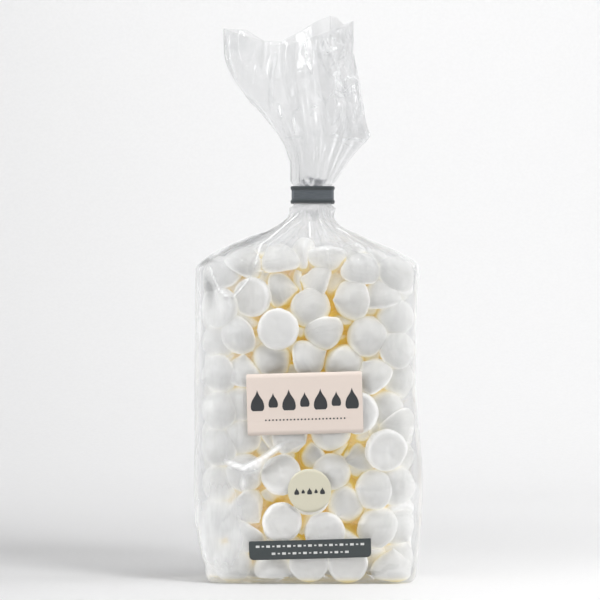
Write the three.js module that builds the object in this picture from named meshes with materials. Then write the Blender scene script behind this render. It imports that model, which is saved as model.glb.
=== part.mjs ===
// A clear block-bottom bag of piped meringue kisses. The film is gathered at the neck, held by a clip band, and flares out
// above it in loose pleats. Three stickers lie on the front. The filled bag is one solid: its film's outer form, with the
// kisses pressing through it as low round bumps.
//
// Millimetres. +Z is up, the bag stands on z = 0, -Y is its front, and the origin is under the middle of the filled body.
import * as THREE from "three";

// Filled body: what the film measures at each height, from the base to the shoulder.
const SHOULDER_Z = 172.5;
const BODY = [
  // z, left half-width, right half-width, half-depth at the corners, squareness of the plan
  [0, 54.5, 58.5, 33, 7],
  [4, 56.5, 61, 34.6, 8],
  [18, 60.4, 63.4, 36, 10],
  [36, 63.4, 64.6, 36.6, 12],
  [60, 64, 65, 37, 12],
  [105, 63.6, 62, 36.6, 12],
  [150, 63.4, 62.4, 36, 12],
  [SHOULDER_Z, 63.2, 63.6, 35.4, 14],
];
const FACE_CROWN = 2.6; // how far the front and back swell at mid-width
const GUSSET_TUCK = 1.2; // depth of the fold down the middle of each side
const GUSSET_TUCK_ROOF = 8; // and where that fold closes, half-way up the roof

// Roof and neck
const ROOF_TOP_Z = 207.5;
const NECK_X = 3.2; // the neck stands a little right of the body's middle
const NECK_FLARE = [12.8, 5.2]; // half-width and half-depth just under and over the clip
const NECK_WAIST = [10.6, 3.3]; // and inside it

// Clip band
const CLIP_Z = [210, 219.5];
const CLIP_HALF = [11.5, 4.2]; // half-width and half-depth of the strip's middle line
const CLIP_STRIP = 0.7; // thickness
const CLIP_RIB = 0.55; // how far the wire ribs along both edges stand out
const CLIP_BEND = 1.5; // bend radius at the sides
const CLIP_OVERLAP = 6; // each end runs this far past the middle of the back
const CLIP_LAP_GAP = 0.35; // between the two ends
const FILM_CLEARANCE_Z = 0.5; // the film is at its waist this far beyond the clip's edges

// Flared tail: the mouth's folds in order round the bag, and how the film spreads up to them.
const TAIL_START_Z = 222.5;
const MOUTH = [
  // share of the way round from the front left corner, then x, y, z
  [0.02, -24, -12.5, 300],
  [0.07, -14.6, -17, 299],
  [0.12, -7, -12, 303.5],
  [0.17, 3.4, -18, 309],
  [0.21, 5.5, -12.5, 311],
  [0.25, 13, -16, 313.5],
  [0.29, 16.5, -8.5, 314],
  [0.33, 20.5, -8.5, 309.5],
  [0.405, 26.3, -1, 312.7],
  [0.47, 22, 9, 311],
  [0.53, 13, 15, 309],
  [0.58, 6, 11.5, 306],
  [0.64, -2, 18, 304],
  [0.7, -12, 12.5, 301],
  [0.75, -20, 16, 301],
  [0.8, -29, 9, 304],
  [0.86, -39, 8, 306.5],
  [0.905, -47.3, 0, 308.5],
  [0.96, -34, -9, 306.5],
];
const MOUTH_PIT = [-8, 0, 290]; // where the mouth dips to
const SPREAD_FROM = 0.08; // the tail starts to spread at this share of its height
const SPREAD_TO = 0.86; // and is as wide as its mouth from here
const KNEE = 18; // how far the right edge stands out at its knee
const KNEE_AT = 0.28; // the knee's share of the tail's height
const KNEE_END = 0.8;

// Pleats of the gathered film
const PLEATS = 21;
const ROOF_PLEAT = 1.3; // depth where the pleats are deepest on the roof
const WAIST_PLEAT = 0.3;
const TAIL_PLEAT = 1.1;

// Kisses under the film
const KISS = 22; // diameter
const KISS_PITCH = [21.5, 18.5]; // round the bag and up it
const KISS_SHIFT = 3; // most that one lies off its place
const KISS_RISE = 1.7; // height of a bump
const KISS_SINK = 1.1; // the film between the bumps lies this far in
const SEED = 7;

// Stickers: middle x and z, tilt in degrees, then width and height.
const STICKER = 0.4; // thickness
const STICKER_GAP = 0.35;
const STICKER_FLAT = 7; // the film is flat this far round a sticker
const FRONT_LABEL = { x: -1.3, z: 98.5, tilt: 1.6, width: 63.1, height: 33.5 };
const ROUND_LABEL = { x: 1.3, z: 51.1, tilt: 1.6, width: 23.7, height: 23.7 };
const BASE_LABEL = { x: 1.6, z: 19.2, tilt: 1.5, width: 66.4, height: 10.3 };
const BASE_LABEL_CORNER = 2.2;

// Mesh
const COLUMNS = { front: 26, side: 16 };
const ROWS = { body: 33, roof: 8, tail: 12 };
const COLOURS = { bag: 0xf3efe6, clip: 0x565b61, pink: 0xe5d2c6, cream: 0xe3dcc4, slate: 0x4d5153 };

const RIGHT_FLARE = NECK_FLARE[0] - 0.5;
const ROUND = 2 * (COLUMNS.front + COLUMNS.side);
const { clamp, lerp, smoothstep, degToRad } = THREE.MathUtils;

/** A seeded random number generator, 0 to 1. */
function randomFrom(seed) {
  let state = seed;
  return () => {
    state = (state * 1664525 + 1013904223) % 4294967296;
    return state / 4294967296;
  };
}

/** Values of a table of [z, ...values] at a height, along a smooth curve through its rows. */
function atHeight(table, z) {
  const last = table.length - 1;
  let i = 0;
  while (i < last - 1 && z > table[i + 1][0]) i++;
  const [a, b] = [table[i], table[i + 1]];
  const [before, after] = [table[Math.max(i - 1, 0)], table[Math.min(i + 2, last)]];
  const t = clamp((z - a[0]) / (b[0] - a[0]), 0, 1);
  return a.slice(1).map((va, k) => {
    const vb = b[k + 1];
    const slopeA = ((vb - before[k + 1]) / (b[0] - before[0])) * (b[0] - a[0]);
    const slopeB = ((after[k + 1] - va) / (after[0] - a[0])) * (b[0] - a[0]);
    const t2 = t * t;
    const t3 = t2 * t;
    return (2 * t3 - 3 * t2 + 1) * va + (t3 - 2 * t2 + t) * slopeA + (3 * t2 - 2 * t3) * vb + (t3 - t2) * slopeB;
  });
}

/** The point of a unit square's edge for a column: 0 is the front left corner, and columns run anticlockwise from above. */
function onSquare(column) {
  const { front, side } = COLUMNS;
  const c = ((column % ROUND) + ROUND) % ROUND;
  if (c < front) return [-1 + (2 * c) / front, -1];
  if (c < front + side) return [1, -1 + (2 * (c - front)) / side];
  if (c < 2 * front + side) return [1 - (2 * (c - front - side)) / front, 1];
  return [-1, 1 - (2 * (c - 2 * front - side)) / side];
}

/** That point drawn in to a superellipse: squareness 2 is a circle, and more is a squarer plan. */
function onPlan(column, squareness) {
  const [x, y] = onSquare(column);
  const n = (Math.abs(x) ** squareness + Math.abs(y) ** squareness) ** (1 / squareness);
  return [x / n, y / n];
}

/** 1 at a pleat's crest and -1 in its valley. */
const zigzag = (column) => 1 - 4 * Math.abs((((column * PLEATS) / ROUND + 0.5) % 1) - 0.5);

/** How far the fold down each side's middle lies in, for a point of the plan. */
const tuckAt = (x, y, depth) => depth * smoothstep(Math.abs(x), 0.8, 1) * (1 - Math.abs(y)) ** 1.5;

/** The front's y at a place, without kisses under it. */
function frontY(x, z) {
  const [left, right, depth] = atHeight(BODY, z);
  const across = x / (x < 0 ? left : right);
  return -(depth + FACE_CROWN * (1 - across * across));
}

/** Places of the kisses that press on the film, as distance round the bag and height. */
function kissPlaces() {
  const random = randomFrom(SEED);
  const round = 2 * (atHeight(BODY, 80)[0] + atHeight(BODY, 80)[1]) + 4 * atHeight(BODY, 80)[2];
  const perRow = Math.round(round / KISS_PITCH[0]);
  const places = [];
  for (let row = 0; row * KISS_PITCH[1] < SHOULDER_Z; row++)
    for (let i = 0; i < perRow; i++)
      places.push({
        s: (i + (row % 2) / 2 + ((random() - 0.5) * 2 * KISS_SHIFT) / KISS_PITCH[0]) / perRow,
        z: KISS / 2 + row * KISS_PITCH[1] + (random() - 0.5) * 2 * KISS_SHIFT,
      });
  return { places, round };
}
const KISSES = kissPlaces();

/** How flat a sticker keeps the film at a place: 1 under it, 0 clear of it. */
function underSticker(x, z, { x: cx, z: cz, tilt, width, height }) {
  const a = degToRad(tilt);
  const across = Math.abs((x - cx) * Math.cos(a) + (z - cz) * Math.sin(a)) - width / 2;
  const up = Math.abs((z - cz) * Math.cos(a) - (x - cx) * Math.sin(a)) - height / 2;
  return 1 - smoothstep(Math.max(across, up), STICKER_FLAT, 2 * STICKER_FLAT);
}

/** How far the film stands out over the kisses at a column and height. */
function kissRelief(column, x, z, onFront) {
  let bump = 0;
  for (const kiss of KISSES.places) {
    const gap = Math.abs(column / ROUND - kiss.s) % 1;
    const round = Math.min(gap, 1 - gap) * KISSES.round;
    const away = ((2 * round) / KISS) ** 2 + ((2 * (z - kiss.z)) / KISS) ** 2;
    bump = Math.max(bump, 1 - away);
  }
  const flat = onFront
    ? Math.max(...[FRONT_LABEL, ROUND_LABEL, BASE_LABEL].map((label) => underSticker(x, z, label)))
    : 0;
  const ends = smoothstep(z, 3, 12) * (1 - smoothstep(z, SHOULDER_Z - 6, SHOULDER_Z + 4));
  return (KISS_RISE * Math.sqrt(bump) - KISS_SINK) * ends * (1 - flat);
}

/** A ring of the body. */
function bodyRing(z) {
  const [left, right, depth, squareness] = atHeight(BODY, z);
  return Array.from({ length: ROUND }, (_, column) => {
    const [px, py] = onPlan(column, squareness);
    const width = px < 0 ? left : right;
    const tucked = Math.abs(px) * width - tuckAt(px, py, GUSSET_TUCK);
    const x = Math.sign(px) * tucked;
    const y = py * (depth + FACE_CROWN * (1 - px * px));
    const onFace = column % (ROUND / 2) < COLUMNS.front;
    const relief = kissRelief(column, x, z, onFace && py < 0);
    return onFace
      ? new THREE.Vector3(x, y + Math.sign(py) * relief, z)
      : new THREE.Vector3(x + Math.sign(px) * relief, y, z);
  });
}

/** A ring of the roof, from the shoulder at 0 to the gathered neck at 1. */
function roofRing(share) {
  const [left, right, depth, squareness] = atHeight(BODY, SHOULDER_Z);
  const drawnIn = smoothstep(share, 0, 1);
  const drawnInRight = smoothstep(Math.min(1, share * 1.08), 0, 1);
  const plan = lerp(squareness, 2, 1 - (1 - share) ** 2);
  return Array.from({ length: ROUND }, (_, column) => {
    const [px, py] = onPlan(column, plan);
    const width = px < 0 ? lerp(left, NECK_FLARE[0], drawnIn) : lerp(right, NECK_FLARE[0], drawnInRight);
    const tuck = tuckAt(px, py, lerp(GUSSET_TUCK, GUSSET_TUCK_ROOF, Math.sin(Math.PI * share)) * (1 - share));
    const pleat = ROOF_PLEAT * zigzag(column) * share * (1 - 0.6 * share);
    const crown = FACE_CROWN * (1 - px * px) * (1 - drawnIn);
    return new THREE.Vector3(
      NECK_X * drawnIn + px * (width + pleat) - Math.sign(px) * tuck,
      py * (lerp(depth, NECK_FLARE[1], drawnIn) + crown + pleat * 0.6),
      lerp(SHOULDER_Z, ROOF_TOP_Z, share),
    );
  });
}

/** A round of gathered film at a height: half-width, half-depth and how deep its pleats are. */
function neckRing(z, [width, depth], pleatDepth) {
  return Array.from({ length: ROUND }, (_, column) => {
    const [px, py] = onPlan(column, 2);
    const pleat = pleatDepth * zigzag(column);
    return new THREE.Vector3(NECK_X + px * (width + pleat), py * (depth + pleat * 0.6), z);
  });
}

/** The mouth's edge at a share of the way round, straight from fold to fold. */
function mouthAt(share) {
  const next = MOUTH.findIndex(([at]) => at > share);
  const b = MOUTH[Math.max(next, 0)];
  const a = MOUTH[(Math.max(next, 0) + MOUTH.length - 1) % MOUTH.length];
  const span = (b[0] - a[0] + 1) % 1;
  const t = ((share - a[0] + 1) % 1) / span;
  return new THREE.Vector3(lerp(a[1], b[1], t), lerp(a[2], b[2], t), lerp(a[3], b[3], t));
}

/** A ring of the tail, from over the clip at 0 to its mouth at 1. */
function tailRing(share) {
  const spread = smoothstep(share, SPREAD_FROM, SPREAD_TO);
  const knee = share < KNEE_AT ? share / KNEE_AT : Math.max(0, 1 - (share - KNEE_AT) / (KNEE_END - KNEE_AT));
  const gathered = neckRing(TAIL_START_Z, [RIGHT_FLARE, NECK_FLARE[1]], 0);
  return gathered.map((start, column) => {
    const [px, py] = onPlan(column, 2);
    const end = mouthAt(column / ROUND);
    const pleat = TAIL_PLEAT * zigzag(column) * (1 - 0.7 * share);
    return new THREE.Vector3(
      lerp(start.x, end.x, spread) + KNEE * knee * Math.max(0, px) ** 1.5 + px * pleat,
      lerp(start.y, end.y, spread) + py * pleat * 0.6,
      lerp(start.z, end.z, share),
    );
  });
}

/** A closed solid through rings of points, with its two ends closed by a point each, or joined up as a hoop. */
function loft(rings, ends) {
  const around = rings[0].length;
  const points = rings.flat();
  const triangles = [];
  const at = (ring, i) => ring * around + (i % around);
  for (let ring = 0; ring < rings.length - 1; ring++)
    for (let i = 0; i < around; i++) {
      triangles.push(at(ring, i), at(ring, i + 1), at(ring + 1, i + 1));
      triangles.push(at(ring, i), at(ring + 1, i + 1), at(ring + 1, i));
    }
  const [bottom, top] = [points.push(ends[0]) - 1, points.push(ends[1]) - 1];
  for (let i = 0; i < around; i++) {
    triangles.push(bottom, at(0, i + 1), at(0, i));
    triangles.push(top, at(rings.length - 1, i), at(rings.length - 1, i + 1));
  }
  const geometry = new THREE.BufferGeometry().setFromPoints(points);
  geometry.setIndex(triangles);
  geometry.computeVertexNormals();
  return geometry;
}

/** The filled bag. */
function bagGeometry() {
  const rings = [];
  for (let i = 0; i < ROWS.body; i++) rings.push(bodyRing((SHOULDER_Z * i) / ROWS.body));
  for (let i = 0; i <= ROWS.roof; i++) rings.push(roofRing(i / ROWS.roof));
  rings.push(neckRing(CLIP_Z[0] - FILM_CLEARANCE_Z, NECK_WAIST, WAIST_PLEAT));
  rings.push(neckRing(CLIP_Z[1] + FILM_CLEARANCE_Z, NECK_WAIST, WAIST_PLEAT));
  for (let i = 0; i <= ROWS.tail; i++) rings.push(tailRing(i / ROWS.tail));
  const base = new THREE.Vector3((BODY[0][2] - BODY[0][1]) / 2, 0, 0);
  return loft(rings, [base, new THREE.Vector3(...MOUTH_PIT)]);
}

/** The clip strip's middle line, seen from above: one end, the left bend, the front, the right bend, and the lapped end. */
function clipPath() {
  const [width, depth] = CLIP_HALF;
  const lap = CLIP_STRIP + 2 * CLIP_RIB + CLIP_LAP_GAP; // the lapped end clears the ribs of the one under it
  const path = new THREE.Path();
  path.moveTo(CLIP_OVERLAP, depth);
  path.lineTo(-width + CLIP_BEND, depth);
  path.absarc(-width + CLIP_BEND, depth - CLIP_BEND, CLIP_BEND, Math.PI / 2, Math.PI);
  path.absarc(-width + CLIP_BEND, -depth + CLIP_BEND, CLIP_BEND, Math.PI, 1.5 * Math.PI);
  path.lineTo(width - CLIP_BEND, -depth);
  path.absarc(width - CLIP_BEND, -depth + CLIP_BEND, CLIP_BEND, -Math.PI / 2, 0);
  path.absarc(width - CLIP_BEND, depth + lap - CLIP_BEND, CLIP_BEND, 0, Math.PI / 2);
  path.lineTo(-CLIP_OVERLAP, depth + lap);
  const bendSteps = 5;
  const points = path.getPoints(bendSteps);
  return points.filter((p, i) => i === 0 || p.distanceTo(points[i - 1]) > 0.01);
}

/** The strip's section as [outward, up] from its middle: a thin web with a rounded wire rib along each outer edge. */
function clipSection() {
  const half = (CLIP_Z[1] - CLIP_Z[0]) / 2;
  const skin = CLIP_STRIP / 2;
  const rib = CLIP_RIB + skin;
  const ribSteps = 6;
  const outside = [];
  for (const end of [-1, 1])
    for (let i = 0; i <= ribSteps; i++) {
      const a = (Math.PI * i) / ribSteps;
      const out = skin + CLIP_RIB * Math.sin(a);
      outside.push([out, end * (half - rib) - rib * Math.cos(a)]);
    }
  return [...outside, [-skin, half], [-skin, -half]].reverse();
}

/** The clip band. */
function clipGeometry() {
  const path = clipPath();
  const section = clipSection();
  const middle = (CLIP_Z[0] + CLIP_Z[1]) / 2;
  const rings = path.map((point, i) => {
    const along = path[Math.min(i + 1, path.length - 1)].clone().sub(path[Math.max(i - 1, 0)]).normalize();
    const out = new THREE.Vector2(along.y, -along.x); // right of the way the strip runs
    return section.map(
      ([n, up]) => new THREE.Vector3(NECK_X + point.x + out.x * n, point.y + out.y * n, middle + up),
    );
  });
  const centre = (ring) => ring.reduce((sum, p) => sum.add(p), new THREE.Vector3()).divideScalar(ring.length);
  return loft(rings, [centre(rings[0]), centre(rings[rings.length - 1])]);
}

/** A flat sheet, finer towards its sides, with its lower corners rounded. */
function sheetGeometry({ width, height }, corner) {
  const [w, h] = [width / 2, height / 2];
  const sheet = new THREE.BoxGeometry(width, height, STICKER, 16, 3, 1).translate(0, 0, STICKER / 2);
  const places = sheet.getAttribute("position");
  for (let i = 0; i < places.count; i++) {
    const x = w * Math.sin((Math.PI / 2) * (places.getX(i) / w));
    const intoCorner = Math.max(0, Math.abs(x) - (w - corner));
    const lift = corner - Math.sqrt(Math.max(0, corner * corner - intoCorner * intoCorner));
    places.setXY(i, x, h - (h - places.getY(i)) * (1 - lift / height));
  }
  return sheet;
}

/** A flat disc. */
function discGeometry({ width }) {
  const disc = new THREE.Shape().absarc(0, 0, width / 2, 0, 2 * Math.PI);
  return new THREE.ExtrudeGeometry(disc, { depth: STICKER, bevelEnabled: false, curveSegments: 24 });
}

/** A flat sticker put in its place and bent to the bag's front. */
function ontoFront(flat, { x: cx, z: cz, tilt }) {
  const a = degToRad(tilt);
  const places = flat.getAttribute("position");
  for (let i = 0; i < places.count; i++) {
    const [across, up, out] = [places.getX(i), places.getY(i), places.getZ(i)];
    const x = cx + across * Math.cos(a) - up * Math.sin(a);
    const z = cz + across * Math.sin(a) + up * Math.cos(a);
    places.setXYZ(i, x, frontY(x, z) - STICKER_GAP - out, z);
  }
  flat.computeVertexNormals();
  return flat;
}

/** A named mesh in its own colour. */
function piece(name, geometry, color, roughness) {
  const mesh = new THREE.Mesh(geometry, new THREE.MeshStandardMaterial({ color, roughness, metalness: 0 }));
  mesh.name = name;
  return mesh;
}

const frontLabel = ontoFront(sheetGeometry(FRONT_LABEL, 0), FRONT_LABEL);
const roundLabel = ontoFront(discGeometry(ROUND_LABEL), ROUND_LABEL);
const baseLabel = ontoFront(sheetGeometry(BASE_LABEL, BASE_LABEL_CORNER), BASE_LABEL);

const bag = new THREE.Group();
bag.add(piece("meringue_bag", bagGeometry(), COLOURS.bag, 0.35));
bag.add(piece("clip_band", clipGeometry(), COLOURS.clip, 0.45));
bag.add(piece("front_label", frontLabel, COLOURS.pink, 0.4));
bag.add(piece("round_label", roundLabel, COLOURS.cream, 0.4));
bag.add(piece("base_label", baseLabel, COLOURS.slate, 0.4));

export default bag;
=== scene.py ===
"""A clear block-bottom bag of piped meringue kisses, closed by a clip band under a flared film tail.

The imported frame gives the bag's box, its clip and its stickers. This file makes the thin film over that form,
the heap of kisses inside it, the stickers with their plain print, the clip, and a pale studio around them.
Lengths are in millimetres in the classes and turned to metres where a mesh is made. Shares run from 0 to 1.
"""

import logging
import math
from dataclasses import dataclass, field
from enum import Enum
from typing import Callable, Sequence

import bmesh
import bpy
import numpy as np
from mathutils import Matrix, Vector
from mathutils.bvhtree import BVHTree


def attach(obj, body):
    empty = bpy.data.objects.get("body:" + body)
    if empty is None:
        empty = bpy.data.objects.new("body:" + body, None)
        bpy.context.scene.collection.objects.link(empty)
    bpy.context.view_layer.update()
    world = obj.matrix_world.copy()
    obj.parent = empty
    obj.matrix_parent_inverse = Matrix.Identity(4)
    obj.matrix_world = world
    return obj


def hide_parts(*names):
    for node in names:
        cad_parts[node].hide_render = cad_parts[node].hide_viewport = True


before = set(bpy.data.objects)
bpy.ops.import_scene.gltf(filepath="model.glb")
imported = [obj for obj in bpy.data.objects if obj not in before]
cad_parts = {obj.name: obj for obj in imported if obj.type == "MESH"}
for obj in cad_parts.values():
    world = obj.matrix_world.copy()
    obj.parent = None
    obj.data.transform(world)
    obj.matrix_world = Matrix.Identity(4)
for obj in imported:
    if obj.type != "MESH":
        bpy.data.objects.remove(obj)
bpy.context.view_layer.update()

LOG = logging.getLogger("meringue_bag")
MM = 0.001
ROOT = "root"

Colour = tuple[float, float, float]
Pair = tuple[float, float]
Triple = tuple[float, float, float]
Array = np.ndarray
Object = bpy.types.Object
Material = bpy.types.Material
NodeTree = bpy.types.NodeTree
NodeSocket = bpy.types.NodeSocket


# ---- Numbers and meshes ----


def smoothstep(value: Array | float, low: float, high: float) -> Array:
    """Rises smoothly from 0 at ``low`` to 1 at ``high``."""
    t = np.clip((np.asarray(value, float) - low) / (high - low), 0.0, 1.0)
    return t * t * (3.0 - 2.0 * t)


def setting_in(value: Array, ends: Triple) -> Array:
    """Rises smoothly from 0 to the last of ``ends`` while a value passes from the first to the second."""
    return smoothstep(value, ends[0], ends[1]) * ends[2]


def mixed(a: Array | float, b: Array | float, share: Array | float) -> Array:
    """The value at ``share`` of the way from ``a`` to ``b``."""
    return a + (b - a) * share


def triangle_wave(turns: Array | float) -> Array:
    """A zigzag of period 1: 1 at each whole number and -1 half-way between."""
    t = np.asarray(turns, float)
    return 1.0 - 4.0 * np.abs(((t + 0.5) % 1.0) - 0.5)


def sway(turns: Array | float) -> Array:
    """A sine of period 1."""
    return np.sin(2 * np.pi * turns)


def unit(vectors: Array) -> Array:
    """Vectors along the last axis, each made one long."""
    return vectors / np.maximum(np.linalg.norm(vectors, axis=-1, keepdims=True), 1e-9)


def lumps(points: Array, scale: float, seed: int, waves: int = 9) -> Array:
    """Smooth uneven relief between about -1 and 1.

    Args:
        points: places in millimetres.
        scale: how fast it changes, in radians a millimetre.
        seed: what the waves' directions are drawn by.
        waves: number of waves that are added up.

    Returns:
        The relief at each place.
    """
    random = np.random.default_rng(seed)
    ways = unit(random.normal(size=(waves, 3))) * scale * random.uniform(0.6, 1.5, (waves, 1))
    phases = random.uniform(0, 2 * np.pi, waves)
    return np.sin(points @ ways.T + phases).sum(-1) / math.sqrt(waves)


def ridges(points: Array, scale: float, seed: int) -> Array:
    """Sharp uneven folds: 1 on their crests and down to 0 between them."""
    return 1 - np.minimum(np.abs(lumps(points, scale, seed, waves=7)) * 0.8, 1.0)


def round_grid(points: Array) -> Array:
    """Outward directions of a grid of points whose columns run round a form and whose rows run up."""
    along = np.roll(points, -1, axis=1) - np.roll(points, 1, axis=1)
    return unit(np.cross(along, np.gradient(points, axis=0)))


def blurred(values: Array, passes: int) -> Array:
    """A grid of values averaged with their neighbours, joined up along its rows."""
    for _ in range(passes):
        values = 0.5 * values + 0.25 * (np.roll(values, 1, 1) + np.roll(values, -1, 1))
        inner = 0.5 * values[1:-1] + 0.25 * (values[:-2] + values[2:])
        values = np.vstack([values[:1], inner, values[-1:]])
    return values


def grid_faces(rows: int, columns: int, hoop: bool) -> list[tuple[int, ...]]:
    """Quads of a grid of points in row order, whose columns run right and whose rows run up from outside.

    Args:
        rows: number of rows of points.
        columns: number of points in a row.
        hoop: whether the last column joins the first.

    Returns:
        The faces, facing outwards.
    """
    faces = []
    for low in range(0, (rows - 1) * columns, columns):
        for c in range(columns if hoop else columns - 1):
            d = (c + 1) % columns
            faces.append((low + c, low + d, low + columns + d, low + columns + c))
    return faces


def cap_faces(middle: int, first: int, columns: int, up: bool) -> list[tuple[int, ...]]:
    """Triangles that close a ring of points.

    Args:
        middle: number of the point in the ring's middle.
        first: number of the ring's first point.
        columns: number of points in the ring.
        up: whether the faces face up, for a ring that runs anticlockwise from above.

    Returns:
        The faces.
    """
    pairs = [(first + i, first + (i + 1) % columns) for i in range(columns)]
    return [(middle, a, b) if up else (middle, b, a) for a, b in pairs]


def make_mesh(name: str, points: Array, faces: Sequence[Sequence[int]], smooth: bool = True) -> Object:
    """Makes an object at the origin.

    Args:
        name: the piece's name.
        points: places in millimetres, one a row.
        faces: point numbers of each face, anticlockwise from outside.
        smooth: whether the faces are shaded smooth.

    Returns:
        The new object, linked to the scene.
    """
    mesh = bpy.data.meshes.new(name)
    mesh.from_pydata((np.asarray(points, float) * MM).tolist(), [], [tuple(f) for f in faces])
    mesh.polygons.foreach_set("use_smooth", [smooth] * len(mesh.polygons))
    mesh.update()
    obj = bpy.data.objects.new(name, mesh)
    bpy.context.scene.collection.objects.link(obj)
    return obj


def paint(obj: Object, **looks: Array) -> None:
    """Gives each point of an object a number, or a vector, under each attribute's name."""
    for name, values in looks.items():
        values = np.asarray(values, np.float32)
        vector = values.ndim == 2 and values.shape == (len(obj.data.vertices), 3)
        layer = obj.data.attributes.new(name, "FLOAT_VECTOR" if vector else "FLOAT", "POINT")
        layer.data.foreach_set("vector" if vector else "value", values.ravel())


def points_of(obj: Object) -> Array:
    """An object's points in millimetres."""
    places = np.empty(len(obj.data.vertices) * 3)
    obj.data.vertices.foreach_get("co", places)
    return places.reshape(-1, 3) / MM


def move_points(obj: Object, points: Array) -> None:
    """Sets an object's points, given in millimetres."""
    obj.data.vertices.foreach_set("co", (points * MM).astype(np.float32).ravel())
    obj.data.update()


def normals_of(obj: Object) -> Array:
    """The outward direction at each of an object's points."""
    out = np.empty(len(obj.data.vertices) * 3, np.float32)
    obj.data.vertex_normals.foreach_get("vector", out)
    return out.reshape(-1, 3).astype(float)


def settle_modifiers(obj: Object, name: str) -> Object:
    """Turns an object with modifiers into a plain mesh object of the same look.

    Args:
        obj: the object, which is removed.
        name: the plain object's name.

    Returns:
        The plain object, linked to the scene.
    """
    bpy.context.view_layer.update()
    evaluated = obj.evaluated_get(bpy.context.evaluated_depsgraph_get())
    mesh = bpy.data.meshes.new_from_object(evaluated)
    obj.modifiers.clear()
    bpy.data.objects.remove(obj)
    mesh.name = name
    plain = bpy.data.objects.new(name, mesh)
    bpy.context.scene.collection.objects.link(plain)
    return plain


def thicken(obj: Object, thickness: float) -> Object:
    """Turns a sheet into a closed shell whose outer face stays where the sheet is."""
    wall = obj.modifiers.new("wall", "SOLIDIFY")
    wall.thickness = thickness * MM
    wall.offset = -1.0
    wall.use_even_offset = False
    return settle_modifiers(obj, obj.name)


def grown(start: Object, tree: NodeTree, name: str, values: dict[str, object]) -> Object:
    """Runs a geometry tree on an object and keeps what it makes as a plain object.

    Args:
        start: the object that the tree starts from, which is removed.
        tree: the geometry tree.
        name: the plain object's name.
        values: the tree's inputs by name.

    Returns:
        The plain object.
    """
    modifier = start.modifiers.new(tree.name, "NODES")
    modifier.node_group = tree
    sockets = {s.name: s.identifier for s in tree.interface.items_tree if s.in_out == "INPUT"}
    for label, value in values.items():
        modifier[sockets[label]] = value
    return settle_modifiers(start, name)


# ---- Node trees ----


class Value:
    """A node's output that adds, subtracts and multiplies like a number, each time by a Math node."""

    def __init__(self, graph: "Graph", socket: NodeSocket) -> None:
        """Wraps an output socket of a graph's node."""
        self.graph, self.socket = graph, socket

    def __add__(self, other: object) -> "Value":
        """The sum with a value or a number."""
        return self.graph.maths("ADD", self, other)

    def __sub__(self, other: object) -> "Value":
        """What is left after a value or a number is taken away."""
        return self.graph.maths("SUBTRACT", self, other)

    def __rsub__(self, other: float) -> "Value":
        """What is left of a number after this is taken away."""
        return self.graph.maths("SUBTRACT", other, self)

    def __mul__(self, other: object) -> "Value":
        """The product with a value or a number."""
        return self.graph.maths("MULTIPLY", self, other)

    def most(self, other: object) -> "Value":
        """The greater of this and another."""
        return self.graph.maths("MAXIMUM", self, other)

    def held(self) -> "Value":
        """The same value, held between 0 and 1."""
        self.socket.node.use_clamp = True
        return self


class Graph:
    """Short calls for building a node tree."""

    def __init__(self, tree: NodeTree) -> None:
        """Starts on a tree."""
        self.tree = tree

    def node(self, kind: str, inputs: dict | None = None, **settings: object) -> bpy.types.Node:
        """Adds a node.

        Args:
            kind: the node's type name.
            inputs: a value or an output for each input, by name or number.
            settings: the node's own properties.

        Returns:
            The node.
        """
        node = self.tree.nodes.new(kind)
        for key, value in settings.items():
            setattr(node, key, value)
        for key, value in (inputs or {}).items():
            self.feed(node.inputs[key], value)
        return node

    def feed(self, socket: NodeSocket, value: object) -> None:
        """Links an output to an input, or sets the input's own value."""
        value = value.socket if isinstance(value, Value) else value
        if isinstance(value, NodeSocket):
            self.tree.links.new(value, socket)
        else:
            socket.default_value = value

    def out(self, kind: str, inputs: dict | None = None, output: str | int = 0, **settings: object) -> Value:
        """One output, by name or number, of a node that is added as ``node`` adds it."""
        return Value(self, self.node(kind, inputs, **settings).outputs[output])

    def maths(self, operation: str, a: object, b: object = 0.0) -> Value:
        """The result of a Math node."""
        return self.out("ShaderNodeMath", {0: a, 1: b}, operation=operation)

    def vector(self, operation: str, *inputs: object) -> Value:
        """The result of a Vector Math node."""
        return self.out("ShaderNodeVectorMath", dict(enumerate(inputs)), operation=operation)

    def ramp(self, value: object, low: float, high: float, at_low: float = 0.0,
             at_high: float = 1.0) -> Value:
        """A value taken smoothly from one range to another."""
        ends = {"Value": value, "From Min": low, "From Max": high, "To Min": at_low, "To Max": at_high}
        return self.out("ShaderNodeMapRange", ends, "Result", interpolation_type="SMOOTHSTEP")

    def blend(self, share: object, a: object, b: object) -> Value:
        """A colour between two others."""
        return self.out("ShaderNodeMix", {0: share, 6: a, 7: b}, 2, data_type="RGBA")

    def noise(self, places: object, scale: float, detail: float = 2.0, output: str = "Fac") -> Value:
        """Smooth noise between 0 and 1, ``scale`` lumps a metre."""
        return self.out("ShaderNodeTexNoise", {"Vector": places, "Scale": scale, "Detail": detail}, output)

    def stretched(self, places: object, scale: Triple) -> Value:
        """Coordinates scaled along each axis."""
        return self.out("ShaderNodeMapping", {"Vector": places, "Scale": scale})

    def attribute(self, name: str) -> Value:
        """A number that the mesh holds for each point."""
        return self.out("ShaderNodeAttribute", output="Fac", attribute_name=name)

    def place(self) -> Value:
        """Coordinates on the piece, in metres."""
        return self.out("ShaderNodeTexCoord", output="Object")

    def bump(self, height: Value, strength: float, distance: float) -> Value:
        """Normals that follow a height."""
        return self.out("ShaderNodeBump", {"Strength": strength, "Distance": distance, "Height": height})


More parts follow.
